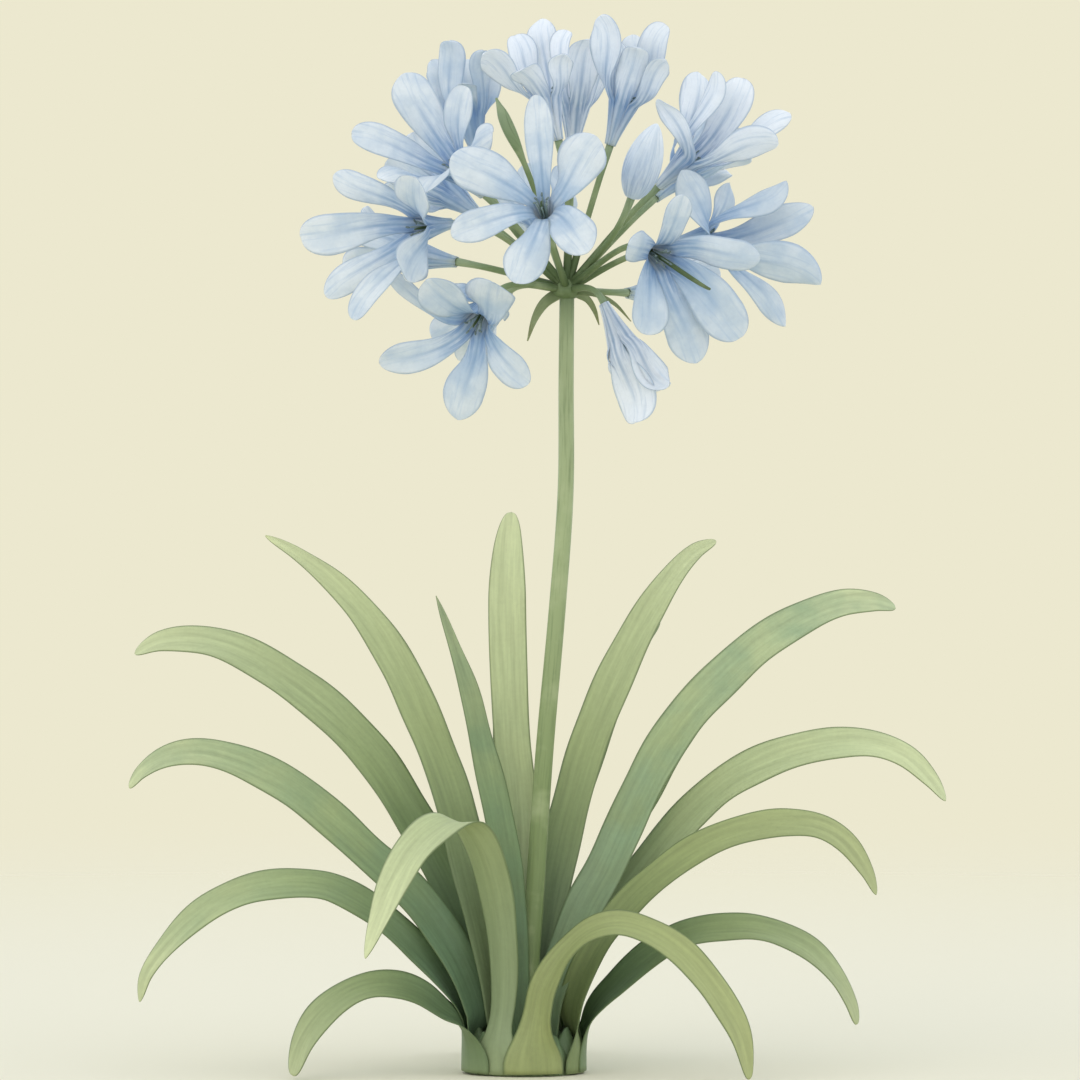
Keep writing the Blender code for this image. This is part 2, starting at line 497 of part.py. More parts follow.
def make_scape(feet, collection):
    """The stalk, its swollen top, the bracts and one pedicel to each floret."""
    route = smooth_route(STALK_ROUTE, STALK_STEPS)
    radii = [STALK_FOOT_RADIUS + (STALK_TOP_RADIUS - STALK_FOOT_RADIUS) * i / STALK_STEPS
             for i in range(STALK_STEPS + 1)]
    scape = make_rod("scape", route, radii, 3, collection)
    bm = bmesh.new()
    bmesh.ops.create_uvsphere(bm, u_segments=HUB_SIDES, v_segments=HUB_RINGS, radius=1.0)
    bmesh.ops.scale(bm, vec=HUB_RADII, verts=bm.verts)
    bmesh.ops.translate(bm, vec=HUB, verts=bm.verts)
    extras = [add_mesh("hub", bm, collection)]
    for i, (foot, axis) in enumerate(feet):
        way = pedicel_route(foot, axis)
        widths = [PEDICEL_RADIUS] * PEDICEL_STEPS + [PEDICEL_END_RADIUS]
        extras.append(make_rod(f"pedicel_{i}", way, widths, 1, collection))
    for i, (width, points) in enumerate(BRACTS):
        way = smooth_route([Vector(HUB) + Vector(p) for p in points], BRACT_ROWS)
        normals = [Vector(BRACT_FACING)] * len(way)
        bm = strap(BRACT_ROWS, way, lambda along: width / 2.0 * (1.0 - BRACT_TAPER * along), normals,
                   BRACT_CHANNEL)
        bract = add_mesh(f"bract_{i}", bm, collection)
        thicken(bract, BRACT_THICKNESS)
        apply_modifiers(bract)
        extras.append(bract)
    return fuse(scape, extras)


def flower_frame(axis):
    """Two directions across a floret: to its viewer's right, and up."""
    right = Vector((0.0, 0.0, 1.0)).cross(axis).normalized()
    return right, axis.cross(right)


def start_angles(tips, axis):
    """Turn of each tepal round the floret: evenly spaced, in the order of their tips."""
    right, up = flower_frame(axis)
    seen = [math.atan2(tip.dot(up), tip.dot(right)) for tip in tips]
    order = sorted(range(len(tips)), key=lambda i: seen[i])
    spacing = 2.0 * math.pi / len(tips)
    turns = [seen[i] - spacing * k for k, i in enumerate(order)]
    first = sum(turns) / len(turns)
    starts = [0.0] * len(tips)
    for k, i in enumerate(order):
        starts[i] = first + spacing * k
    return order, starts


def tepal_path(angle, tip, axis, throat):
    """A curve that leaves the throat as a funnel and ends at the tip, bent outward."""
    right, up = flower_frame(axis)
    out = right * math.cos(angle) + up * math.sin(angle)
    start = throat + out * THROAT_RADIUS
    end = throat + tip
    reach = (end - start).length
    leave = (axis * TEPAL_LEAVE[0] + out * TEPAL_LEAVE[1]).normalized()
    across = (tip - axis * tip.dot(axis)).normalized()
    arrive = (end - start).normalized() + across * TEPAL_RECURVE[0] - axis * TEPAL_RECURVE[1]
    arrive.normalize()
    return interpolate_bezier(start, start + leave * reach * TEPAL_BEND[0],
                              end - arrive * reach * TEPAL_BEND[1], end, TEPAL_STEPS + 1)


def tepal_point(path, along, across, width, out_side, layer):
    """A point of a tepal: along its path, and out to a side or on its middle line."""
    step = round(along * TEPAL_STEPS)
    place = path[step]
    way = (path[min(step + 1, TEPAL_STEPS)] - path[max(step - 1, 0)]).normalized()
    side = (out_side - way * out_side.dot(way)).normalized()
    front = way.cross(side)
    cup = math.copysign(TEPAL_CUP * width * abs(across), layer)
    shift = layer * math.sin(math.pi * min(along, 0.5))
    return place + side * (across * width / 2.0) + front * (cup + shift)


def make_floret(name, throat, axis, tepals, collection):
    """A hollow tube that opens into six tepals, with ovary, style and filaments inside."""
    axis = Vector(axis).normalized()
    throat = Vector(HUB) + Vector(throat)
    foot = throat - axis * TUBE_LENGTH
    tips = [Vector(t[:3]) for t in tepals]
    order, starts = start_angles(tips, axis)
    right, up = flower_frame(axis)
    columns = 2 * TEPALS
    bm = bmesh.new()
    first = starts[order[0]] - math.pi / TEPALS

    pole = bm.verts.new(foot)
    rings = []
    for row in range(TUBE_ROWS + 1):
        share = row / TUBE_ROWS
        radius = TUBE_FOOT_RADIUS + (THROAT_RADIUS - TUBE_FOOT_RADIUS) * share ** TUBE_FLARE
        centre = foot.lerp(throat, share)
        ring = []
        for column in range(columns):
            angle = first + math.pi / TEPALS * column
            out = right * math.cos(angle) + up * math.sin(angle)
            ring.append(bm.verts.new(centre + out * radius))
        rings.append(ring)
    for c in range(columns):
        bm.faces.new((pole, rings[0][(c + 1) % columns], rings[0][c]))
    for low, high in zip(rings, rings[1:]):
        for c in range(columns):
            d = (c + 1) % columns
            bm.faces.new((low[c], low[d], high[d]))
            bm.faces.new((low[c], high[d], high[c]))

    for k, i in enumerate(order):
        angle = starts[i]
        path = tepal_path(angle, tips[i], axis, throat)
        out = right * math.cos(angle) + up * math.sin(angle)
        side = axis.cross(out)
        layer = TEPAL_LAYER if k % 2 == 0 else -TEPAL_LAYER
        rim = rings[-1]
        low = [rim[2 * k], rim[2 * k + 1], rim[(2 * k + 2) % columns]]
        for along, share in TEPAL_WIDTHS:
            high = []
            for across in (-1, 0, 1):
                point = tepal_point(path, along, across, tepals[i][3] * share, side, layer)
                if along == 1.0 and across == 0:
                    point += (path[-1] - path[-2]).normalized() * TEPAL_TIP_ROUND
                high.append(bm.verts.new(point))
            for c in range(2):
                bm.faces.new((low[c], low[c + 1], high[c + 1]))
                bm.faces.new((low[c], high[c + 1], high[c]))
            low = high
    perianth = add_mesh(name, bm, collection)
    thicken(perianth, TEPAL_THICKNESS)
    apply_modifiers(perianth)

    ovary_end = foot + axis * OVARY_LENGTH
    style_end = throat + axis * STYLE_REACH
    extras = [make_needle(name + "_style", foot, style_end, OVARY_RADIUS, STYLE_SIDES, collection)]
    for k in range(TEPALS):
        angle = starts[order[k]]
        out = right * math.cos(angle) + up * math.sin(angle)
        start = ovary_end + axis * (FILAMENT_STAGGER * k) + out * FILAMENT_ROOT
        end = throat + axis * FILAMENT_REACH + out * FILAMENT_SPREAD
        extras.append(make_needle(f"{name}_filament_{k}", start, end, FILAMENT_RADIUS, FILAMENT_SIDES,
                                  collection))
    return fuse(perianth, extras)


def half_open_tepals(axis, turn):
    axis = Vector(axis).normalized()
    right, up = flower_frame(axis)
    tepals = []
    for k in range(TEPALS):
        angle = math.radians(turn + 360.0 / TEPALS * k)
        out = right * math.cos(angle) + up * math.sin(angle)
        tip = axis * BACK_TEPAL_REACH + out * BACK_TEPAL_SPREAD
        tepals.append((*tip, BACK_TEPAL_WIDTH))
    return tepals


def make_bud(collection):
    """A closed bud with six shallow ribs, narrowing to its tube."""
    foot = Vector(HUB) + Vector(BUD_FOOT)
    tip = Vector(HUB) + Vector(BUD_TIP)
    axis = (tip - foot).normalized()
    right, up = flower_frame(axis)
    length = (tip - foot).length
    bm = bmesh.new()
    bmesh.ops.create_uvsphere(bm, u_segments=BUD_SIDES, v_segments=BUD_RINGS, radius=1.0)
    for vert in bm.verts:
        along = (vert.co.z + 1.0) / 2.0
        angle = math.atan2(vert.co.y, vert.co.x)
        radius = 0.0
        if vert.co.xy.length > WELD:
            belly = math.sin(math.pi * along ** BUD_BELLY[0]) ** BUD_BELLY[1] * BUD_BELLY[2]
            ribs = 1.0 + BUD_RIBS * math.cos(TEPALS * angle)
            radius = BUD_RADIUS * (belly + BUD_NECK * (1.0 - along)) * ribs
        out = right * math.cos(angle) + up * math.sin(angle)
        vert.co = foot + axis * (along * length) + out * radius
    return add_mesh("floret_bud", bm, collection), foot - Vector(HUB), axis


def main():
    clear_objects()
    plant = new_collection("agapanthus_plant")
    finishes = {key: new_material(*values) for key, values in MATERIALS.items()}

    made = {"crown": [make_crown(plant)], "leaf": [], "scape": [], "floret": []}
    for name, (width, facing, points) in LEAVES.items():
        made["leaf"].append(make_leaf(name, width, facing, points, plant))

    florets = dict(OPEN_FLORETS)
    for name, (throat, axis, turn) in BACK_FLORETS.items():
        florets[name] = (throat, axis, half_open_tepals(axis, turn))
    feet = []
    for name, (throat, axis, tepals) in florets.items():
        made["floret"].append(make_floret(name, throat, axis, tepals, plant))
        facing = Vector(axis).normalized()
        feet.append((Vector(throat) - facing * TUBE_LENGTH, facing))

    bud, bud_foot, bud_axis = make_bud(plant)
    made["floret"].append(bud)
    feet.append((bud_foot + bud_axis * TEPAL_THICKNESS, bud_axis))
    made["scape"].append(make_scape(feet, plant))

    for key, items in made.items():
        for item in items:
            item.data.materials.clear()
            item.data.materials.append(finishes[key])


main()
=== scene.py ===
# Agapanthus in flower: strap leaves round a short crown, one stalk and an open head of blue florets.
# Lengths are in millimetres until a mesh is made. X is to the viewer's right, Y away, Z up.
import math

import bmesh
import bpy
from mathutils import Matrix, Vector
from mathutils.geometry import interpolate_bezier


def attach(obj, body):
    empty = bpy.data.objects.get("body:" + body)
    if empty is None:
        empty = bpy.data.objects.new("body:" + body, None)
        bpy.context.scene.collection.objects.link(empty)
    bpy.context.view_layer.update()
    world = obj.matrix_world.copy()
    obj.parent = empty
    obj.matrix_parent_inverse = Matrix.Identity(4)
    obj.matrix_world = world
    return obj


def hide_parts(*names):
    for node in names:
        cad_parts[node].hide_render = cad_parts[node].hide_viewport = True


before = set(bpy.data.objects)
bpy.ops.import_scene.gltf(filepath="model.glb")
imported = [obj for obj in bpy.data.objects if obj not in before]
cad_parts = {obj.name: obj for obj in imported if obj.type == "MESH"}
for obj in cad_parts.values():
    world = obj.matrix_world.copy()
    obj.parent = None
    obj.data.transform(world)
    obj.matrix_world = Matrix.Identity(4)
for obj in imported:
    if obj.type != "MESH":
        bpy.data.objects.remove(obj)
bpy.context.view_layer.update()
millimetre = 0.001
fullTurn = 2.0 * math.pi
upward = Vector((0.0, 0.0, 1.0))
viewer = Vector((0.0, -1.0, 0.0))
# What a mesh tells its material at each point: the share of its length, how near the edge it is, the
# millimetres across and along, and 1 on the upper or inner face. The whole piece tells two more.
pointMarks = ("along", "edge", "span", "reach", "upper")
pieceMarks = ("tint", "cool")
print("frame loaded:", len(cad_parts), "nodes")


def linear(hexColour):  # an sRGB hex value as the linear colour that shaders take
    shares = [int(hexColour[i:i + 2], 16) / 255 for i in (1, 3, 5)]
    shares = [s / 12.92 if s <= 0.04045 else ((s + 0.055) / 1.055) ** 2.4 for s in shares]
    return (*shares, 1.0)


# Sets a node's properties, ramp stops and sockets. A socket that is given a source is linked to it.
def setNode(tree, node, settings):
    for key, value in settings.items():
        if key == "stops":
            ramp = node.color_ramp
            while len(ramp.elements) < len(value):
                ramp.elements.new(1.0)
            for element, (place, colour) in zip(ramp.elements, value):
                element.position = place
                element.color = linear(colour)
        elif isinstance(value, bpy.types.NodeSocket):
            tree.links.new(value, node.inputs[key])
        elif isinstance(key, str) and hasattr(node, key):
            setattr(node, key, value)
        else:
            node.inputs[key].default_value = value
    return node


def addNode(tree, kind, settings):
    return setNode(tree, tree.nodes.new(kind), settings)


def mark(tree, name):  # what the mesh tells the material under this name
    return addNode(tree, "ShaderNodeAttribute", {"attribute_name": name}).outputs["Fac"]


def rampOf(tree, value, stops):
    return addNode(tree, "ShaderNodeValToRGB", {"stops": stops, "Fac": value}).outputs["Color"]


# A value carried from one span onto another and held at its ends.
def rescale(tree, value, span, onto=(0.0, 1.0), course="LINEAR"):
    return addNode(tree, "ShaderNodeMapRange", {
        "Value": value, "From Min": span[0], "From Max": span[1], "To Min": onto[0], "To Max": onto[1],
        "interpolation_type": course}).outputs["Result"]


def compute(tree, operation, first, second=0.0, clamp=False):
    return addNode(tree, "ShaderNodeMath", {"operation": operation, "use_clamp": clamp, 0: first,
                                            1: second}).outputs["Value"]


def times(tree, first, second, clamp=False):
    return compute(tree, "MULTIPLY", first, second, clamp)


def overlay(tree, paint, colour, share):  # a colour laid over the paint below it
    return addNode(tree, "ShaderNodeMixRGB", {"Color1": paint, "Color2": linear(colour),
                                              "Fac": share}).outputs["Color"]


# A colour laid on as a value goes through a span, up to its most.
def washOver(tree, paint, colour, value, span, most, course="LINEAR"):
    return overlay(tree, paint, colour, rescale(tree, value, span, (0.0, most), course))


def shade(tree, paint, strength):
    return addNode(tree, "ShaderNodeMixRGB", {"blend_type": "MULTIPLY", "Fac": 1.0, "Color1": paint,
                                              "Color2": strength}).outputs["Color"]


def cloud(tree, size, detail=3.0):  # soft blotches of a size in millimetres
    return addNode(tree, "ShaderNodeTexNoise", {
        "Scale": 1.0 / (size * millimetre), "Detail": detail,
        "Vector": addNode(tree, "ShaderNodeTexCoord", {}).outputs["Object"]}).outputs["Fac"]


# Noise drawn out along a piece into uneven lines, with so many millimetres to a line.
def drawnLines(tree, spacing, stretch, depth, detail, roughness=0.5):
    place = addNode(tree, "ShaderNodeCombineXYZ", {
        "X": times(tree, mark(tree, "span"), 1.0 / spacing),
        "Y": times(tree, mark(tree, "reach"), stretch), "Z": depth}).outputs["Vector"]
    return addNode(tree, "ShaderNodeTexNoise", {"Scale": 1.0, "Detail": detail, "Roughness": roughness,
                                                "Vector": place}).outputs["Fac"]


# A piece with a positive value here is painted lighter and one with a negative value darker: partly
# its own tone, partly painted light and painted shade.
def paintLightAndShade(tree, paint, light, dark, most):
    paint = washOver(tree, paint, light, mark(tree, "tint"), (0.0, 1.0), most)
    return washOver(tree, paint, dark, mark(tree, "tint"), (0.0, -1.0), most)


def flecked(tree, paint, size, depth):
    flecks = rescale(tree, cloud(tree, size, 2.0), (0.0, 1.0), (1.0 - depth, 1.0 + depth))
    return shade(tree, paint, flecks)


def bumped(tree, height, strength):
    return addNode(tree, "ShaderNodeBump", {"Strength": strength, "Distance": 0.1 * millimetre,
                                            "Height": height}).outputs["Normal"]


def newMaterial(name, settings):
    material = bpy.data.materials.new(name)
    material.use_nodes = True
    tree = material.node_tree
    return material, tree, setNode(tree, tree.nodes["Principled BSDF"], settings)


def smoothStep(value):
    value = min(max(value, 0.0), 1.0)
    return value * value * (3.0 - 2.0 * value)


def mix(a, b, share):
    return a + (b - a) * share


def turns(sides):  # the angles of a ring's points
    return [fullTurn * k / sides for k in range(sides)]


def squareTo(vector, way):  # the part of a vector that is square to a way
    return vector - way * vector.dot(way)


def lengthOf(route):
    return sum((b - a).length for a, b in zip(route, route[1:]))


# Points at even distances along a smooth curve through the given ones.
def smoothRoute(points, steps, samples=17):
    points = [Vector(p) for p in points]
    slopes = tangents(points)
    dense = [points[0]]
    for i in range(len(points) - 1):
        third = (points[i + 1] - points[i]).length / 3.0
        dense += interpolate_bezier(points[i], points[i] + slopes[i] * third,
                                    points[i + 1] - slopes[i + 1] * third, points[i + 1], samples)[1:]
    return evenly(dense, steps)


def evenly(dense, steps):
    reach = [0.0]
    for a, b in zip(dense, dense[1:]):
        reach.append(reach[-1] + (b - a).length)
    route = []
    piece = 0
    for step in range(steps + 1):
        wanted = reach[-1] * step / steps
        while piece < len(dense) - 2 and reach[piece + 1] < wanted:
            piece += 1
        share = (wanted - reach[piece]) / max(reach[piece + 1] - reach[piece], 1e-9)
        route.append(dense[piece].lerp(dense[piece + 1], min(share, 1.0)))
    return route


def tangents(route):
    last = len(route) - 1
    return [(route[min(i + 1, last)] - route[max(i - 1, 0)]).normalized() for i in range(last + 1)]


def newShape(tint=0.0, cool=0.0):
    return {"points": [], "faces": [], "materials": [], "tint": tint, "cool": cool,
            **{m: [] for m in pointMarks}}


# Skins closed rings of points, with a cap on either end. A ring's marks run beside its points.
def loft(shape, rings, ringMarks, skin=0):
    first = len(shape["points"])
    count = len(rings[0])
    for ring, told in zip(rings, ringMarks):
        shape["points"] += ring
        for m in pointMarks:
            value = told.get(m, 0.0)
            shape[m] += value if isinstance(value, list) else [value] * count
    faces = []
    for r in range(len(rings) - 1):
        low = first + r * count
        for c in range(count):
            d = (c + 1) % count
            faces.append((low + c, low + d, low + count + d, low + count + c))
    end = first + (len(rings) - 1) * count
    faces += [tuple(range(first + count - 1, first - 1, -1)), tuple(range(end, end + count))]
    shape["faces"] += faces
    shape["materials"] += [skin] * len(faces)


# One closed ring across a thin skin, over its upper face and back under the lower one. Its pointAt
# gives the point at a share of the half width, raised so much above the middle of the skin.
def skinRing(pointAt, thickness, columns, half, along, reach, edgeScale=1.0):
    shares = [2.0 * c / columns - 1.0 for c in range(columns + 1)]
    both = shares + shares[::-1]
    ring = [pointAt(x, thickness(x) / 2.0) for x in shares]
    ring += [pointAt(x, -thickness(x) / 2.0) for x in reversed(shares)]
    return ring, {"along": along, "reach": reach, "edge": [abs(x) * edgeScale for x in both],
                  "span": [x * half for x in both],
                  "upper": [1.0] * len(shares) + [0.0] * len(shares)}


def pieceName(node):
    first, *rest = node.split("_")
    return first + "".join(word.title() for word in rest)


# Makes the mesh of a shape, which then stands for its CAD node.
def finishPiece(node, shape, materials):
    mesh = bpy.data.meshes.new(pieceName(node))
    mesh.from_pydata([p * millimetre for p in shape["points"]], [], shape["faces"])
    for m in pointMarks + pieceMarks:
        values = shape[m] if m in pointMarks else [shape[m]] * len(shape["points"])
        mesh.attributes.new(m, "FLOAT", "POINT").data.foreach_set("value", values)
    for material in materials:
        mesh.materials.append(material)
    mesh.polygons.foreach_set("material_index", shape["materials"])
    bm = bmesh.new()
    bm.from_mesh(mesh)
    bmesh.ops.recalc_face_normals(bm, faces=bm.faces)
    bm.to_mesh(mesh)
    bm.free()
    mesh.shade_smooth()
    piece = bpy.data.objects.new(pieceName(node), mesh)
    bpy.context.scene.collection.objects.link(piece)
    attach(piece, "root")
    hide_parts(node)


# Camera: as the picture is seen, from the front and just above the level of the plant's middle.
cameraSet = {"aim": (5.8, 0.0, 192.3), "distance": 4000.0, "elevation": 2.0, "frameWidth": 388.8,
             "sensor": 36.0}


def makeCamera():
    s = cameraSet
    tilt = math.radians(s["elevation"])
    back = Vector((0.0, -math.cos(tilt), math.sin(tilt)))
    data = bpy.data.cameras.new("studioCamera")
    data.sensor_width = s["sensor"]
    data.lens = s["sensor"] * s["distance"] / s["frameWidth"]
    data.clip_end = 100.0
    camera = bpy.data.objects.new("studioCamera", data)
    camera.location = (Vector(s["aim"]) + back * s["distance"]) * millimetre
    camera.rotation_mode = "QUATERNION"
    camera.rotation_quaternion = (-back).to_track_quat("-Z", "Y")
    bpy.context.scene.collection.objects.link(camera)
    bpy.context.scene.camera = camera


makeCamera()
print("camera placed")

# Crown: the short stock that is wrapped all round by leaf bases and cut flat below. Its rim ends in
# rounded lobes, and the rings at its top lie inward and down from the rim.
crownSet = {
    "width": 40.0, "depth": 35.4, "foot": 0.97, "sides": 264, "rows": 26, "sheaths": 11, "swell": 0.07,
    "twist": 0.35, "neckFrom": 0.42, "neckTo": 1.6, "neckLean": 0.34, "rimLow": 11.5, "rimHigh": 17.0,
    "rimUneven": 3.0, "top": [(0.95, 0.3), (0.9, 1.6), (0.72, 5.0), (0.4, 7.0), (0.1, 7.5)],
}

# Leaves: each has its full width, how far its face turns to the viewer, how much lighter or darker it is
# painted (partly its own tone, partly painted light and shade), how cool its green is, and its route
# from the crown to the tip.
leafSet = {
    "rows": 104, "columns": 14, "baseWidth": 13.5, "footWidth": 13.0, "fullWidthAt": 0.32,
    "taperFrom": 0.62, "taperCurve": 1.65, "taperPower": 0.5, "steps": 600, "tipCrowding": 1.4,
    "narrowest": 0.2, "waviness": 0.02, "waveTurns": 17.0, "channel": 0.22, "channelPower": 1.25,
    "thickness": 1.1, "edgeThickness": 0.4, "keel": 0.25, "keelHalf": 0.25, "footFacing": 0.85,
    "turnedBy": 0.3, "headedBy": 0.12, "ripple": 0.3, "rippleFrom": 0.4, "rippleLength": 31.0,
    "innerShare": 0.6, "clasp": 1.07, "claspEase": 0.45, "claspHeights": (0.6, 7.0, 5.0),
    "sunkTo": 6.0, "lowFoot": 5.0, "layers": (1.1, 1.03, 1.065), "sheathFrom": 3.0,
    "sheathRise": 22.0, "sheathHalf": 11.5,
}
# A folded or low leaf turns as it goes: shares of its length, and how far its face is turned there.
leafTurns = {
    "leaf_left_folded": [(0.0, -0.5), (0.42, -0.4), (0.7, 0.5), (1.0, 0.5)],
    "leaf_right_folded": [(0.0, 0.85), (0.2, 0.8), (0.4, 0.62), (1.0, 0.6)],
    "leaf_left_low": [(0.0, 0.2), (0.3, 0.75), (1.0, 0.75)],
    "leaf_left_lowest": [(0.0, 0.15), (0.35, 0.7), (1.0, 0.6)],
    "leaf_right_lower": [(0.0, 0.2), (0.3, 0.75), (1.0, 0.6)],
}
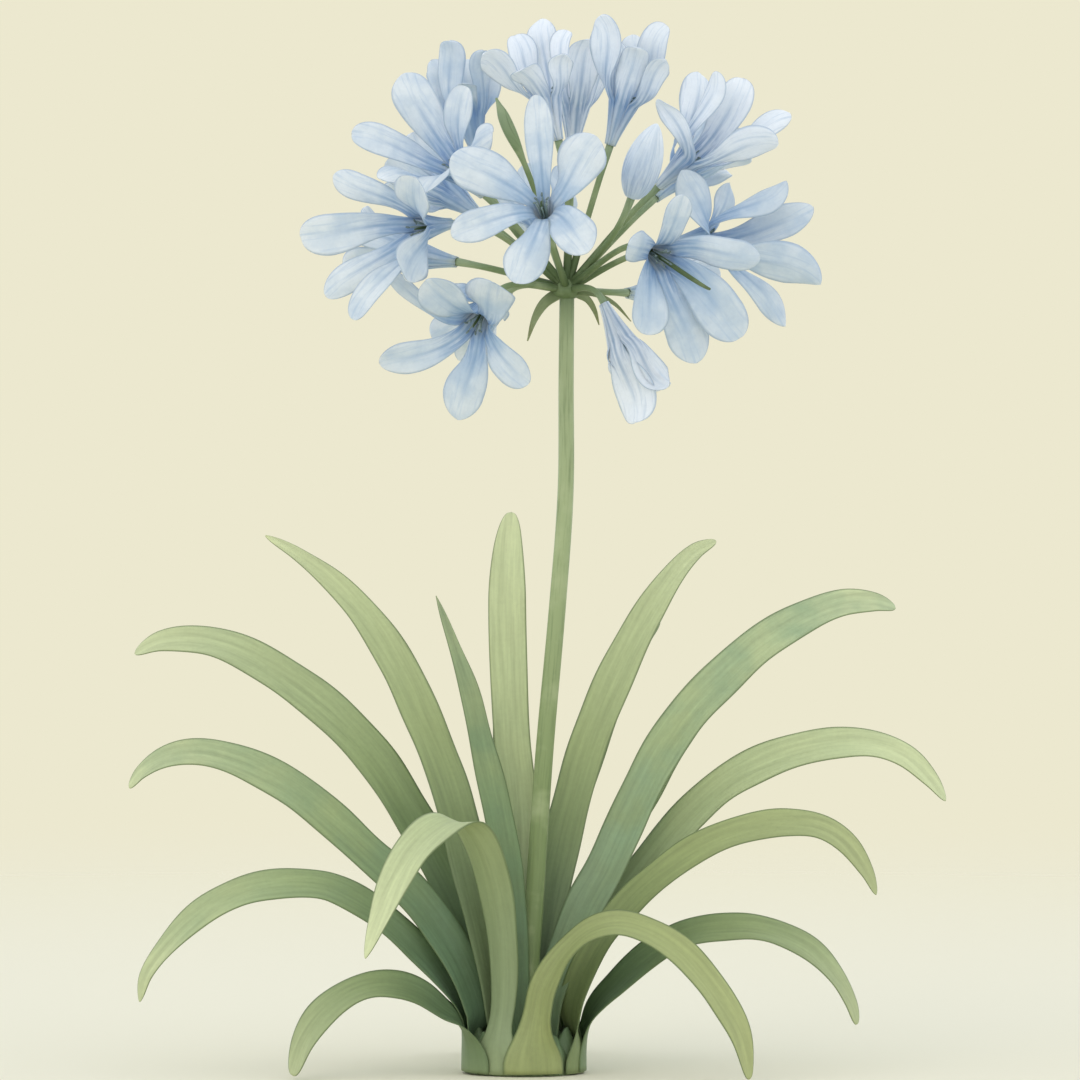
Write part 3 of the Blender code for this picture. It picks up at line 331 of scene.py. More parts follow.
# Where a leaf's tip begins, how pointed it is and how its foot widens, where that is its own.
leafOwn = {
    "leaf_left_high": {"taperFrom": 0.68, "taperPower": 0.44},
    "leaf_centre": {"taperFrom": 0.84, "taperPower": 0.42},
    "leaf_left_short": {"taperFrom": 0.5, "taperPower": 0.85},
    "leaf_left_tall": {"taperFrom": 0.58, "taperPower": 0.68},
    "leaf_left_low": {"taperPower": 0.62},
    "leaf_left_lowest": {"taperFrom": 0.75, "taperPower": 0.42},
    "leaf_left_folded": {"baseWidth": 8.5, "fullWidthAt": 0.62, "taperFrom": 0.66, "taperPower": 0.75},
    "leaf_right_high": {"taperFrom": 0.7, "taperPower": 0.45},
    "leaf_right_folded": {"taperFrom": 0.7, "taperPower": 0.45},
}
leaves = {
    "leaf_left_high": (16.5, 0.80, -0.2, 0.1, [
        (-12, 7.6, 11.8), (-14, 10, 26), (-19.4, 13, 49.3), (-30.2, 17, 72.7), (-41, 20, 91.1),
        (-52.2, 24, 108.6), (-64, 28, 122), (-77.6, 33, 133.8), (-94.8, 38, 145.2),
        (-107.6, 42, 151.4), (-119.6, 46, 153.8), (-132.6, 49, 153.2), (-142, 51, 149)]),
    "leaf_left_mid": (15.5, 0.80, -0.15, 0.6, [
        (-14.5, -2, 11.8), (-16.8, -2.2, 22), (-22.7, -1.5, 38.5), (-30.2, -1, 51.1), (-41, 0, 64.8),
        (-57.2, 2, 79.2), (-70.6, 4, 91.4), (-84.2, 5, 101.9), (-98.6, 6, 109.8), (-111.2, 6, 114.1),
        (-121, 6, 115), (-130, 5, 113), (-137.6, 4, 108.2), (-142.2, 3, 102.6)]),
    "leaf_left_low": (13.5, 0.75, -0.12, 0.35, [
        (-20.9, 1.6, 1), (-23, 1, 21.5), (-31.3, -2, 35.6), (-41.8, -6, 47.9), (-55.4, -10, 59.5),
        (-69.1, -14, 66.9), (-79.6, -17, 68.8), (-92.9, -20, 68.2), (-103.3, -22, 65.4),
        (-115, -24, 59.2), (-126.2, -25, 49), (-134.8, -25, 37.6), (-137.6, -25, 27.6)]),
    "leaf_left_tall": (15, 0.80, 0.12, -0.2, [
        (-8.3, 0, 11.8), (-9.7, -0.6, 29.5), (-14, 0, 51.1), (-19.4, 4, 72.7), (-24.8, 12, 93.6),
        (-28.8, 20, 106.2), (-37, 31, 126), (-46.2, 41, 145), (-57, 50, 161.2), (-69.2, 58, 174.2),
        (-83.2, 65, 184.8), (-94.8, 70, 191.4)]),
    "leaf_left_folded": (16.5, 0.45, 0.45, 0, [
        (-7.3, -11.3, 11.8), (-7.5, -13.5, 34.9), (-9, -17, 55.6), (-12, -22, 71.8),
        (-16.5, -28, 84.6), (-22.2, -34, 91.8), (-29.8, -42, 91), (-39.2, -52, 82.9),
        (-45.4, -59, 72.7), (-50.8, -66, 60.2), (-56.1, -72, 46.6)]),
    "leaf_left_short": (12, 0.75, -0.6, 0.75, [
        (-3.9, -6.7, 11.8), (-4.2, -6.8, 43.9), (-5.2, -6.2, 65.5), (-7.9, -6, 83.5),
        (-11.5, -5, 101.5), (-15.8, -3, 119.5), (-20.2, -1, 138.6), (-25.9, 2, 155.5),
        (-31.7, 5, 172)]),
    "leaf_centre": (13.5, 0.90, 0.55, 0.2, [
        (-3.6, 7, 11.8), (-3.2, 8, 47.5), (-1.8, 9, 83.5), (-2.5, 9.5, 101.5), (-4.3, 10, 119.5),
        (-5.4, 11, 141.1), (-6.1, 13, 166.3), (-5.8, 15, 187.9), (-4.7, 17, 201.8)]),
    "leaf_left_lowest": (13.2, 0.60, -0.45, 0.1, [
        (-19, -7.8, 1), (-23.6, -9, 17.6), (-30.2, -11, 23.8), (-37.6, -14, 29.4), (-45.4, -17, 32.2),
        (-54.7, -20, 32.4), (-63.4, -23, 29.3), (-71.8, -26, 22.8), (-78.2, -28, 13.4),
        (-82.4, -30, 1.4)]),
    "leaf_right_tall": (15, 0.80, 0.15, -0.1, [
        (4.2, 7, 11.8), (4.2, 11, 25.9), (5.4, 14, 38.5), (8.6, 16, 56.5), (13, 18, 77),
        (17.6, 20, 96.1), (23, 23, 115), (29.6, 27, 132.2), (37.6, 33, 149.6), (45.8, 39, 164.8),
        (54.2, 44, 177.4), (62.4, 48, 186.2), (70, 50, 190.2)]),
    "leaf_right_high": (16.5, 0.80, 0.2, 0.95, [
        (8.3, 0.2, 11.8), (9.8, 1.6, 27), (17.3, 3, 47.5), (22.7, 4, 60.1), (29.5, 5, 72.4),
        (36, 7, 86.4), (42.5, 9, 100.4), (50.8, 12, 115.6), (60.7, 15, 129.4), (72.3, 18, 141.2),
        (85.8, 21, 153.2), (100.3, 24, 162), (114.6, 27, 167.8), (126.9, 29, 168.4),
        (134.8, 30, 166.4)]),
    "leaf_right_mid": (15.5, 0.80, 0.38, 0.2, [
        (12.8, 6.2, 11.8), (17.4, 8.2, 29.5), (27.4, 10, 49.3), (36.4, 11, 61.9), (44.6, 12, 72.7),
        (52.6, 12, 83.5), (61.9, 11, 93.6), (73.4, 8, 103.7), (86, 4, 110.9), (99.4, 0, 115.9),
        (113, -4, 118.6), (126.2, -7, 118.4), (137.2, -9, 114.3), (145.9, -10, 106.4),
        (151.5, -11, 98.8)]),
    "leaf_right_low": (12.8, 0.80, -0.2, -0.6, [
        (14.4, -3.2, 11.8), (18.9, -5.2, 29.5), (27.4, -7, 47.9), (38.2, -9, 61.6), (48.2, -12, 71.1),
        (59.6, -15, 79.8), (71, -18, 85.8), (82.8, -21, 89.6), (94.2, -24, 91.2), (106, -26, 90),
        (115.2, -28, 84.4), (122.4, -29, 74.6), (126, -30, 66.3)]),
    "leaf_right_lower": (12.8, 0.60, -0.4, 0.2, [
        (20.9, 1.6, 1), (25.4, 1, 21.5), (34.6, 0, 32.5), (45.4, -1, 42.3), (56.2, -3, 48.9),
        (63.4, -4, 51.1), (72.4, -5, 52.2), (82.1, -6, 52.3), (92.1, -8, 50), (103.1, -10, 44.4),
        (111.7, -12, 35.6), (117, -13, 26.4), (119.5, -14, 18.6)]),
    "leaf_right_folded": (13.5, 0.60, 0.15, -1, [
        (3.6, -18.2, 1), (6.8, -20, 28.6), (10.4, -22, 37.6), (16.6, -25, 46.4), (24.5, -28, 53),
        (34.4, -32, 55.4), (45, -36, 52.6), (54.8, -39, 46.8), (62.7, -42, 38.8), (70.4, -45, 28.6),
        (76.8, -47, 16.8), (80.2, -48, 1.6)]),
    "leaf_back_left_high": (14, 0.30, -0.3, 0.4, [
        (-15.9, 12.8, 1), (-17.5, 16, 27), (-23.5, 26, 50), (-32, 40, 73), (-43, 52, 91),
        (-54, 63, 107), (-66, 73, 120), (-78, 82, 130), (-88, 89, 135)]),
    "leaf_back_centre": (13, 0.30, 0, 0.3, [
        (-2, 12.9, 11.8), (-5.2, 19, 40), (-5.2, 27, 80), (-5, 36, 118), (-6, 46, 148), (-7, 58, 170),
        (-7, 70, 182)]),
    "leaf_back_right_tall": (13.5, 0.30, 0.1, 0.4, [
        (6.2, 11.9, 11.8), (6.6, 16, 28), (9, 22.5, 50), (13.6, 31, 77), (19.4, 41, 98),
        (26.6, 52, 119), (34.4, 62, 137), (42.4, 71, 151), (49.6, 79, 160)]),
    "leaf_back_right_high": (14, 0.30, -0.2, 0.3, [
        (14.8, 13.1, 1), (16, 17, 28), (20.6, 26, 48), (29.6, 38, 70), (38, 49, 86), (46, 59, 99),
        (54.8, 69, 114), (64.8, 78, 126), (74.6, 86, 136), (83, 92, 142)]),
    "leaf_back_right_lowest": (13, 0, -0.1, 0.2, [
        (4.6, 18.2, 1), (5, 24, 36), (6, 34, 55), (7, 48, 66), (9, 64, 67), (10, 80, 57),
        (11, 92, 40), (12, 100, 20), (12, 104, 1.6)]),
    "leaf_back_left_lowest": (12.5, 0, 0.2, 0.1, [
        (-5.4, 18.3, 1), (-7.5, 24, 32), (-9, 36, 47), (-11, 50, 54), (-13, 64, 52), (-15, 77, 41),
        (-16, 87, 24), (-17, 93, 1.6)]),
}

# Living strap leaf: a waxy skin over long parallel veins. The wax gives a soft satin, the veins a fine
# grain along the leaf, and the green is paler towards the tip. Low on the leaf it is painted darker, as
# painted shade, and at the very foot lighter again, as painted light against the shade among the leaf
# bases. The veins, washes and flecks are coarser than real ones, so that the unevenness of the green
# shows at the size of the plant.
leafLook = {
    "ramp": [(0.0, "#869871"), (0.06, "#6E8462"), (0.13, "#5B7353"), (0.3, "#6F8560"),
             (0.42, "#809363"), (0.55, "#9DAC75"), (0.8, "#BAC591"), (1.0, "#D3DAA8")],
    # The light and dark colours below are the painted light and painted shade laid on whole leaves.
    "light": "#D4DCAC", "dark": "#657A4E", "cool": "#779877", "warm": "#9AA260", "margin": "#66784E",
    "under": "#7F9062", "veinSpacing": 1.7, "grainStretch": 0.035, "washSize": 16.0, "fleckSize": 1.6,
}


def waxyLeafMaterial(name, look):
    material, tree, shader = newMaterial(name, {"Specular IOR Level": 0.35})
    cool = mark(tree, "cool")
    paint = rampOf(tree, mark(tree, "along"), look["ramp"])
    washShare = rescale(tree, cloud(tree, look["washSize"]), (0.35, 0.7), (0.15, 0.75))
    paint = overlay(tree, paint, look["cool"], times(tree, washShare, cool, True))
    paint = washOver(tree, paint, look["warm"], cool, (0.0, -1.0), 0.75)
    # Each leaf as a whole is painted lighter or darker: partly its own tone, partly painted light and
    # shade.
    paint = paintLightAndShade(tree, paint, look["light"], look["dark"], 0.7)
    grain = drawnLines(tree, look["veinSpacing"], look["grainStretch"], mark(tree, "tint"), 4.0, 0.6)
    paint = shade(tree, paint, rescale(tree, grain, (0.3, 0.7), (0.82, 1.08)))
    paint = flecked(tree, paint, look["fleckSize"], 0.07)
    paint = washOver(tree, paint, look["under"], mark(tree, "upper"), (1.0, 0.0), 0.4)
    paint = washOver(tree, paint, look["margin"], mark(tree, "edge"), (0.88, 1.0), 0.75, "SMOOTHSTEP")
    veins = compute(tree, "SINE", times(tree, mark(tree, "span"), fullTurn / look["veinSpacing"]))
    relief = bumped(tree, compute(tree, "ADD", veins, grain), 0.15)
    gloss = rescale(tree, grain, (0.0, 1.0), (0.42, 0.6))
    setNode(tree, shader, {"Base Color": paint, "Roughness": gloss, "Normal": relief})
    return material


def leafHalfWidth(s, along, full, foot):
    grown = mix(foot, full, smoothStep(along / s["fullWidthAt"]))
    grown *= 1.0 + s["waviness"] * math.sin(full + along * s["waveTurns"]) * smoothStep(along / 0.3)
    if along > s["taperFrom"]:
        left = (along - s["taperFrom"]) / (1.0 - s["taperFrom"])
        grown *= max(1.0 - left ** s["taperCurve"], 0.0) ** s["taperPower"]
    return max(grown, s["narrowest"]) / 2.0


# How far a leaf's face turns to the viewer at a share of its length.
def leafTurn(node, facing, along):
    s = leafSet
    stops = leafTurns.get(node, [(0.0, facing * s["footFacing"]), (s["turnedBy"], facing), (1.0, facing)])
    for (a, low), (b, high) in zip(stops, stops[1:]):
        if along <= b:
            return mix(low, high, smoothStep((along - a) / (b - a)))
    return stops[-1][1]


# A leaf of the outer ring clasps the crown down to the ground, and an inner one is sunk in it.
def leafRoute(points):
    s = leafSet
    x, y, z = points[0]
    outward = math.hypot(2.0 * x / crownSet["width"], 2.0 * y / crownSet["depth"])
    if outward > 1.0:
        return points, True
    if outward < s["innerShare"]:
        return [(x, y, s["sunkTo"])] + points[1:], False
    wide = s["clasp"] / outward
    high = mix(1.0, wide, s["claspEase"])
    foot, knee, rise = s["claspHeights"]
    return [(x * wide, y * wide, foot), (x * wide, y * wide, knee),
            (x * high, y * high, z + rise)] + points[1:], True


# One ring of the sheath that a leaf's foot forms round the crown, at a height. Its sense tells
# whether the leaf's side points the way that the angle grows, so that the foot isn't twisted.
def sheathRing(angle, height, half, layer, sense, columns, thickness):
    wide = crownSet["width"] / 2.0 * layer
    deep = crownSet["depth"] / 2.0 * layer

    def pointAt(x, raised):
        turn = angle + sense * x * half / wide
        out = Vector((math.cos(turn) / wide, math.sin(turn) / deep, 0.0)).normalized()
        return Vector((wide * math.cos(turn), deep * math.sin(turn), height)) - out * (sense * raised)

    return skinRing(pointAt, thickness, columns, half, 0.0, 0.0)[0]


def makeLeaf(node, material):
    width, facing, tint, cool, points = leaves[node]
    s = {**leafSet, **leafOwn.get(node, {})}
    routePoints, ringed = leafRoute(points)
    fine = smoothRoute(routePoints, s["steps"])
    places = [round(s["steps"] * (1.0 - (1.0 - row / s["rows"]) ** s["tipCrowding"]))
              for row in range(s["rows"] + 1)]
    route = [fine[place] for place in places]
    outward = Vector((points[0][0], points[0][1], 0.0)).normalized()
    heading = Vector((route[-1].x - route[0].x, route[-1].y - route[0].y, 0.0)).normalized()
    length = lengthOf(route)
    phase = 1.7 * len(node) + points[0][0]
    foot = s["baseWidth"] if ringed else s["footWidth"]
    footAngle = math.atan2(points[0][1] / crownSet["depth"], points[0][0] / crownSet["width"])
    footSide = Vector((-math.sin(footAngle), math.cos(footAngle), 0.0))
    layer = s["layers"][0 if points[0][2] < s["lowFoot"] else 1 + list(leaves).index(node) % 2]
    rings, told = [], []
    for row, way in enumerate(tangents(route)):
        along = places[row] / s["steps"]
        away = outward.lerp(heading, smoothStep(along / s["headedBy"])).normalized()
        upper = way.cross(upward.cross(away)).normalized()
        turn = leafTurn(node, facing, along)
        normal = squareTo(viewer * turn + upper * math.sqrt(1.0 - turn * turn), way).normalized()
        side = normal.cross(way)
        half = leafHalfWidth(s, along, width, foot)
        wave = s["ripple"] * smoothStep(along / s["rippleFrom"]) * math.sin(
            phase + along * length * fullTurn / s["rippleLength"])

        def pointAt(x, raised):
            lift = s["channel"] * half * abs(x) ** s["channelPower"] + wave * x * abs(x)
            return route[row] + side * (x * half) + normal * (lift + raised)

        def thickness(x):
            keel = s["keel"] * max(1.0 - abs(x) / s["keelHalf"], 0.0)
            body = mix(s["thickness"], s["edgeThickness"], abs(x) ** 2.0)
            return body * min(half / 2.0 + 0.3, 1.0) + keel

        ring, ringTold = skinRing(pointAt, thickness, s["columns"], half, along, along * length)
        hug = 1.0 - smoothStep((along * length - s["sheathFrom"]) / s["sheathRise"])
        if ringed and hug > 0.0:
            held = sheathRing(footAngle, route[row].z, mix(half, s["sheathHalf"], hug), layer,
                              math.copysign(1.0, side.dot(footSide)), s["columns"], thickness)
            ring = [free.lerp(clasped, hug) for free, clasped in zip(ring, held)]
        rings.append(ring)
        told.append(ringTold)
    shape = newShape(tint, cool)
    loft(shape, rings, told)
    finishPiece(node, shape, [material])


leafMaterial = waxyLeafMaterial("waxyStrapLeaf", leafLook)
for leafNode in leaves:
    makeLeaf(leafNode, leafMaterial)
print("leaves:", len(leaves))


# How high the crown's rim stands at a turn: each sheath ends in its own rounded lobe.
def rimHeight(angle):
    s = crownSet
    course = s["sheaths"] * angle / 2.0 + s["twist"]
    lobe = math.floor(course / math.pi) % s["sheaths"]
    highest = s["rimHigh"] - s["rimUneven"] * (lobe * 7 % 5) / 4.0
    return mix(s["rimLow"], highest, abs(math.sin(course)) ** 0.8)


def makeCrown(material):
    s = crownSet
    rings, told = [], []
    profile = [(row / s["rows"], 1.0, 0.0) for row in range(s["rows"] + 1)]
    profile += [(1.0, inner, drop) for inner, drop in s["top"]]
    for share, inner, drop in profile:
        ring = []
        for angle in turns(s["sides"]):
            fold = abs(math.sin(s["sheaths"] * angle / 2.0 + s["twist"] * share))
            lean = smoothStep((share - s["neckFrom"]) / (s["neckTo"] - s["neckFrom"])) * s["neckLean"]
            edge = mix(s["foot"], 1.0, min(2.0 * share, 1.0)) * (1.0 - lean)
            edge *= (1.0 - s["swell"] * (1.0 - fold) ** 2) * inner
            ring.append(Vector((edge * s["width"] / 2.0 * math.cos(angle),
                                edge * s["depth"] / 2.0 * math.sin(angle),
                                share * rimHeight(angle) - drop)))
        rings.append(ring)
        told.append({"along": 0.12 * share, "span": [a * s["width"] / 2.0 for a in turns(s["sides"])],
                     "reach": share * s["rimHigh"], "upper": 1.0, "edge": 0.2})
    # The crown as a whole is painted a little darker: partly its own tone, partly painted shade.
    shape = newShape(-0.1, 0.3)
    loft(shape, rings, told)
    finishPiece("crown", shape, [material])


# Sheathed crown: fleshy leaf bases pressed together, so it has the leaf's grain in a duller green. Its
# green is painted lighter towards the ground, as painted light against the shade low among the leaves.
crownLook = {**leafLook, "ramp": [(0.0, "#97A677"), (0.04, "#84966A"), (0.1, "#748960")]}
makeCrown(waxyLeafMaterial("fleshyLeafSheath", crownLook))
print("crown done")

# Stalk: one green stem with a knobbly head, papery bracts and a pedicel to every floret.
stalkSet = {
    "hub": (15.5, 0.0, 282.6), "hubRadii": (5.6, 5.2, 3.9), "rows": 90, "sides": 28,
    "footRadius": 3.6, "topRadius": 2.65, "ribs": 9, "ribDepth": 0.02,
    "route": [(0.4, 0.0, 11.5), (1.4, 0.0, 29.5), (4.0, 0.0, 65.5), (7.4, 0.0, 115.9),
              (11.9, 0.0, 166.3), (15.0, 0.0, 209.5), (15.2, 0.0, 250.0), (15.5, 0.0, 283.0)],
    "pedicelRadii": (1.5, 1.15, 1.45), "pedicelRows": 22, "pedicelSides": 14, "splay": 0.35,
    "bend": 0.4, "sunk": 0.6, "swollenFrom": 0.8,
}
hub = Vector(stalkSet["hub"])
# The young bud and the bracts have routes seen from the hub. A bract also has its width.
youngBudSet = {
    "route": [(0.0, 0.0, 0.0), (-5.0, -6.0, 16.0), (-11.0, -12.0, 34.0), (-16.5, -14.0, 48.0),
              (-21.5, -14.0, 59.0), (-25.4, -12.0, 68.6)],
    "rows": 60, "sides": 16, "stemRadius": 1.0, "swell": 1.3, "swollenFrom": 0.66, "swollenFor": 0.37,
}
bractSet = {"rows": 24, "columns": 8, "facing": (0.0, -1.0, 0.4), "channel": 0.2, "ripple": 0.15,
            "taper": 0.9, "thickness": 0.6}
bracts = [
    (4.5, [(-3.0, -1.0, -1.5), (-8.0, -2.5, -5.0), (-11.5, -3.5, -10.5), (-14.2, -4.0, -18.6)]),
    (3.5, [(3.5, 1.5, -1.5), (7.5, 5.5, -4.0), (10.0, 8.0, -8.0), (11.6, 9.5, -13.0)]),
    (2.6, [(3.0, -2.0, -1.0), (10.0, -5.0, -1.8), (17.0, -7.0, -5.2), (23.0, -8.0, -11.5)]),
]

# Florets: the throat seen from the hub, the way it faces, how much lighter or darker it is painted
# (partly its own tone, partly painted light and shade), and the tip of each tepal seen from the
# throat, with that tepal's width.
floretSet = {
    "tube": 16.0, "footRadius": 1.75, "throatRadius": 5.4, "flare": 1.3, "tubeRows": 14,
    "petalRows": 30, "tipCrowding": 1.8, "columns": 12, "tepals": 6, "pathSteps": 60,
    "leave": (0.8, 0.6), "recurve": (0.5, 0.25), "bend": (0.36, 0.33), "tip": 1.6, "layer": 0.9,
    "cup": 0.10, "cupPower": 1.6, "thickness": 0.5, "edgeThickness": 0.2, "tubeOverlap": 1.12,
    "tubeLayer": 0.16, "tubeEdge": 0.7, "flattenBy": 0.34, "turnedBy": 0.7, "ruffle": 0.45,
    "ruffleTurns": 9.0, "waviness": 0.05, "waveTurns": 8.0, "midrib": 0.4, "midribHalf": 0.16,
    "broadestAt": 0.68, "broadest": 0.54, "growth": 0.92, "roundness": 2.4, "endPower": 0.5,
    "bluntness": 0.012, "claw": 0.9, "showing": 0.5, "footCap": (0.5, 2.4, 0.96),
    "filamentReach": 2.6, "filamentSpread": 3.0, "filamentRadii": (0.34, 0.2), "shorterBy": 1.2,
    "anther": (1.7, 0.42), "styleReach": 2.0, "styleRadius": 0.55, "styleBow": 0.8,
    "ovary": (1.05, 7.0), "threadSteps": 14, "threadSides": 8,
}
# Where a floret differs: its throat, its petals' growth and tips, the blue at their feet, and how its
# filaments and style reach out of the throat.
floretOwn = {
    "floret_front": {"filamentReach": 7.0, "styleReach": 6.4, "filamentSpread": 2.4, "claw": 0.35,
                     "growth": 0.8, "throatRadius": 4.2, "roundness": 2.1, "endPower": 0.56},
    "floret_left_lower": {"roundness": 2.0, "endPower": 0.6, "growth": 0.8},
    "floret_right": {"roundness": 1.8, "endPower": 0.72},
    "floret_drooping": {"showing": 0.2, "claw": 0.35, "growth": 0.75},
    "floret_top": {"claw": 0.6},
    "floret_top_right": {"claw": 0.7},
    "floret_right_front": {"style": (16.8, -15.0, -11.0), "styleRadius": 0.95, "flattenBy": 0.5,
                           "growth": 0.5, "roundness": 2.2, "endPower": 0.55},
}
florets = {
    "floret_front": ((-8.6, -62, 29.2), (-0.10, -0.90, 0.42), 0.05, [
        (-2.2, 3, 38.5, 9.5), (-31.3, -2, 18, 16), (-31, -12, -9, 11), (-8.6, -20, -24.5, 14),
        (15.5, -21, -14.4, 14.5), (17.6, -5, 24.8, 16)]),
    "floret_left": ((-52.9, -40, 22), (-0.72, -0.68, -0.10), 0.1, [
        (-29.9, 10, 18.4, 10), (-40.3, 6, -2.9, 13.5), (-32.4, 0, -23, 10), (-22, -14, -31, 10),
        (-5, -17, -17, 15), (-0.7, -20, 17.6, 14.5)]),
    "floret_left_upper": ((-40.3, -30, 44), (-0.65, -0.45, 0.60), 0.12, [
        (-34.9, 0, 11.2, 10.5), (-18, 8, 32.4, 14.5), (4, -2, 27, 11), (12, -18, 12, 11),
        (-9, -21, -9, 12.5), (-25, -20, -3, 10)]),
    "floret_left_top": ((-35, 12, 62), (-0.20, 0.30, 0.93), -0.2, [
        (-7.5, -5, 25.5, 11), (5, -9, 22, 8), (-13, 10, 20, 10), (-2, 18, 19, 10), (9, 9, 18, 9),
        (-3, -15, 12, 9)]),
    "floret_top": ((-7.2, -12, 69.1), (-0.25, -0.10, 0.95), 0.85, [
        (-21.6, -10, 15.5, 14), (-11.2, 9, 20.2, 10), (-2.2, 12, 27.4, 10), (7, 7, 22, 9),
        (5, -11, 15, 9), (-9, -17, 8, 10)]),
    "floret_top_right": ((2.9, 24, 65.5), (0.05, 0.10, 0.98), 1, [
        (4.7, -8, 23.8, 12), (-10.4, -5, 16, 6.5), (10, 8, 20, 10), (-2, 15, 19, 10), (13, -1, 17, 9),
        (-10, 6, 19, 9)]),
    "floret_right_top": ((20.4, -8, 67), (0.30, -0.12, 0.93), 0.45, [
        (-7.4, -2, 30, 13), (14.4, 0, 26.2, 12), (4, 13, 24, 10), (-4, 10, 20, 9), (4, -13, 18, 10),
        (14, -9, 15, 9)]),
    "floret_right_upper": ((44.3, -12, 47.5), (0.70, -0.25, 0.65), 0.75, [
        (-10.6, -10, 20, 7), (3.6, 12, 29.5, 13), (8.5, -7, 29, 8), (18, 6, 26.5, 12),
        (34.9, 4, 15.5, 9), (29.5, -9, 4.7, 12)]),
    "floret_right_front": ((33.5, -55, 11.9), (0.35, -0.90, -0.20), -0.25, [
        (6.8, -12, 21.2, 8.5), (-10.4, -16, 4, 11), (33.5, -3, -0.4, 11), (27, 2, -27, 15.5),
        (12.6, 0, -36, 13.8), (-6.1, -12, -25.6, 13.5)]),
    "floret_right": ((50.8, -8, 18), (0.90, -0.22, 0.15), -0.2, [
        (-8.6, -13, 23.4, 12), (8.2, 12, 19, 8.5), (26.6, -4, 20, 10), (36, 8, 10.8, 11),
        (38.6, -7, -15.5, 15), (27.7, 8, -30, 10)]),
    "floret_drooping": ((19.8, -24, -19), (0.40, -0.25, -0.87), 0.92, [
        (4.2, -12, -26.4, 14.5), (16, -2.5, -13.5, 9), (14.7, -8.5, -15.5, 11),
        (1.8, -2.5, -16.5, 8.5), (6.1, 0.5, -18, 9), (12, 1, -16.5, 9)]),
    "floret_left_lower": ((-32.8, -38, -11.9), (-0.35, -0.75, -0.55), -0.15, [
        (-32.4, 6, -13.7, 10.5), (-6.5, 4, -33.1, 14), (18.4, -12, -19.8, 12), (-32, 3, 18, 6),
        (-16.5, -14.5, 15, 15), (5.5, -20, 13.5, 16.5)]),
}
# The half-open florets at the back: throat, facing and turn of the first tepal.
# The back florets share one small lift, partly tone and partly painted light.
backSet = {"reach": 21.0, "spread": 14.0, "width": 11.5, "tint": 0.1}
backFlorets = {
    "floret_back": ((-8, 56, 24), (-0.10, 0.92, 0.36), 10),
    "floret_back_left_lower": ((-28, 42, -6), (-0.42, 0.82, -0.30), 40),
    "floret_back_right_lower": ((32, 42, -2), (0.62, 0.76, -0.02), 25),
    "floret_back_left_upper": ((-42, 40, 34), (-0.62, 0.60, 0.46), 5),
    "floret_back_right_upper": ((42, 36, 42), (0.62, 0.52, 0.58), 50),
    "floret_back_far_left": ((-54, 18, 12), (-0.88, 0.42, 0.14), 30),
}
# The bud is painted lighter, as painted light against the shade on its side seen from the front.
budSet = {
    "foot": (23.0, -24.0, 33.0), "tip": (32.0, -34.0, 59.4), "radius": 6.4, "rows": 44, "sides": 72,
    "ribs": 0.04, "grooves": 0.03, "belly": (0.92, 0.62, 0.9), "neck": 0.25, "seam": 0.3,
    "petalShare": (-0.35, 0.95), "tint": 0.55, "claw": 0.35,
}

# Petal: a thin moist skin over pale cells. It gives a matt, powdery blue with a deeper vein down the
# middle, fine lines beside it, a stronger blue streaked towards the throat, and a slightly darker rim
# where the skin turns over. The lines, washes and flecks are coarser than real ones.
petalLook = {
    "ramp": [(0.0, "#A9BAA6"), (0.12, "#A6BACA"), (0.36, "#A0B7CD"), (0.5, "#90ABC6"),
             (0.58, "#A2B9CE"), (0.7, "#B8C8D5"), (0.84, "#C8D3D8"), (1.0, "#CFD8DB")],
    "light": "#E2E8E8", "bright": "#EFF5FA", "deep": "#98B0C8", "vein": "#7E9AB8", "claw": "#6587B2",
    "rim": "#8EA6BD", "inside": "#DCE6EA", "outside": "#B0C5DA",
    "lineSpacing": 0.9, "lineStretch": 0.07, "washSize": 9.0, "fleckSize": 1.1,
}


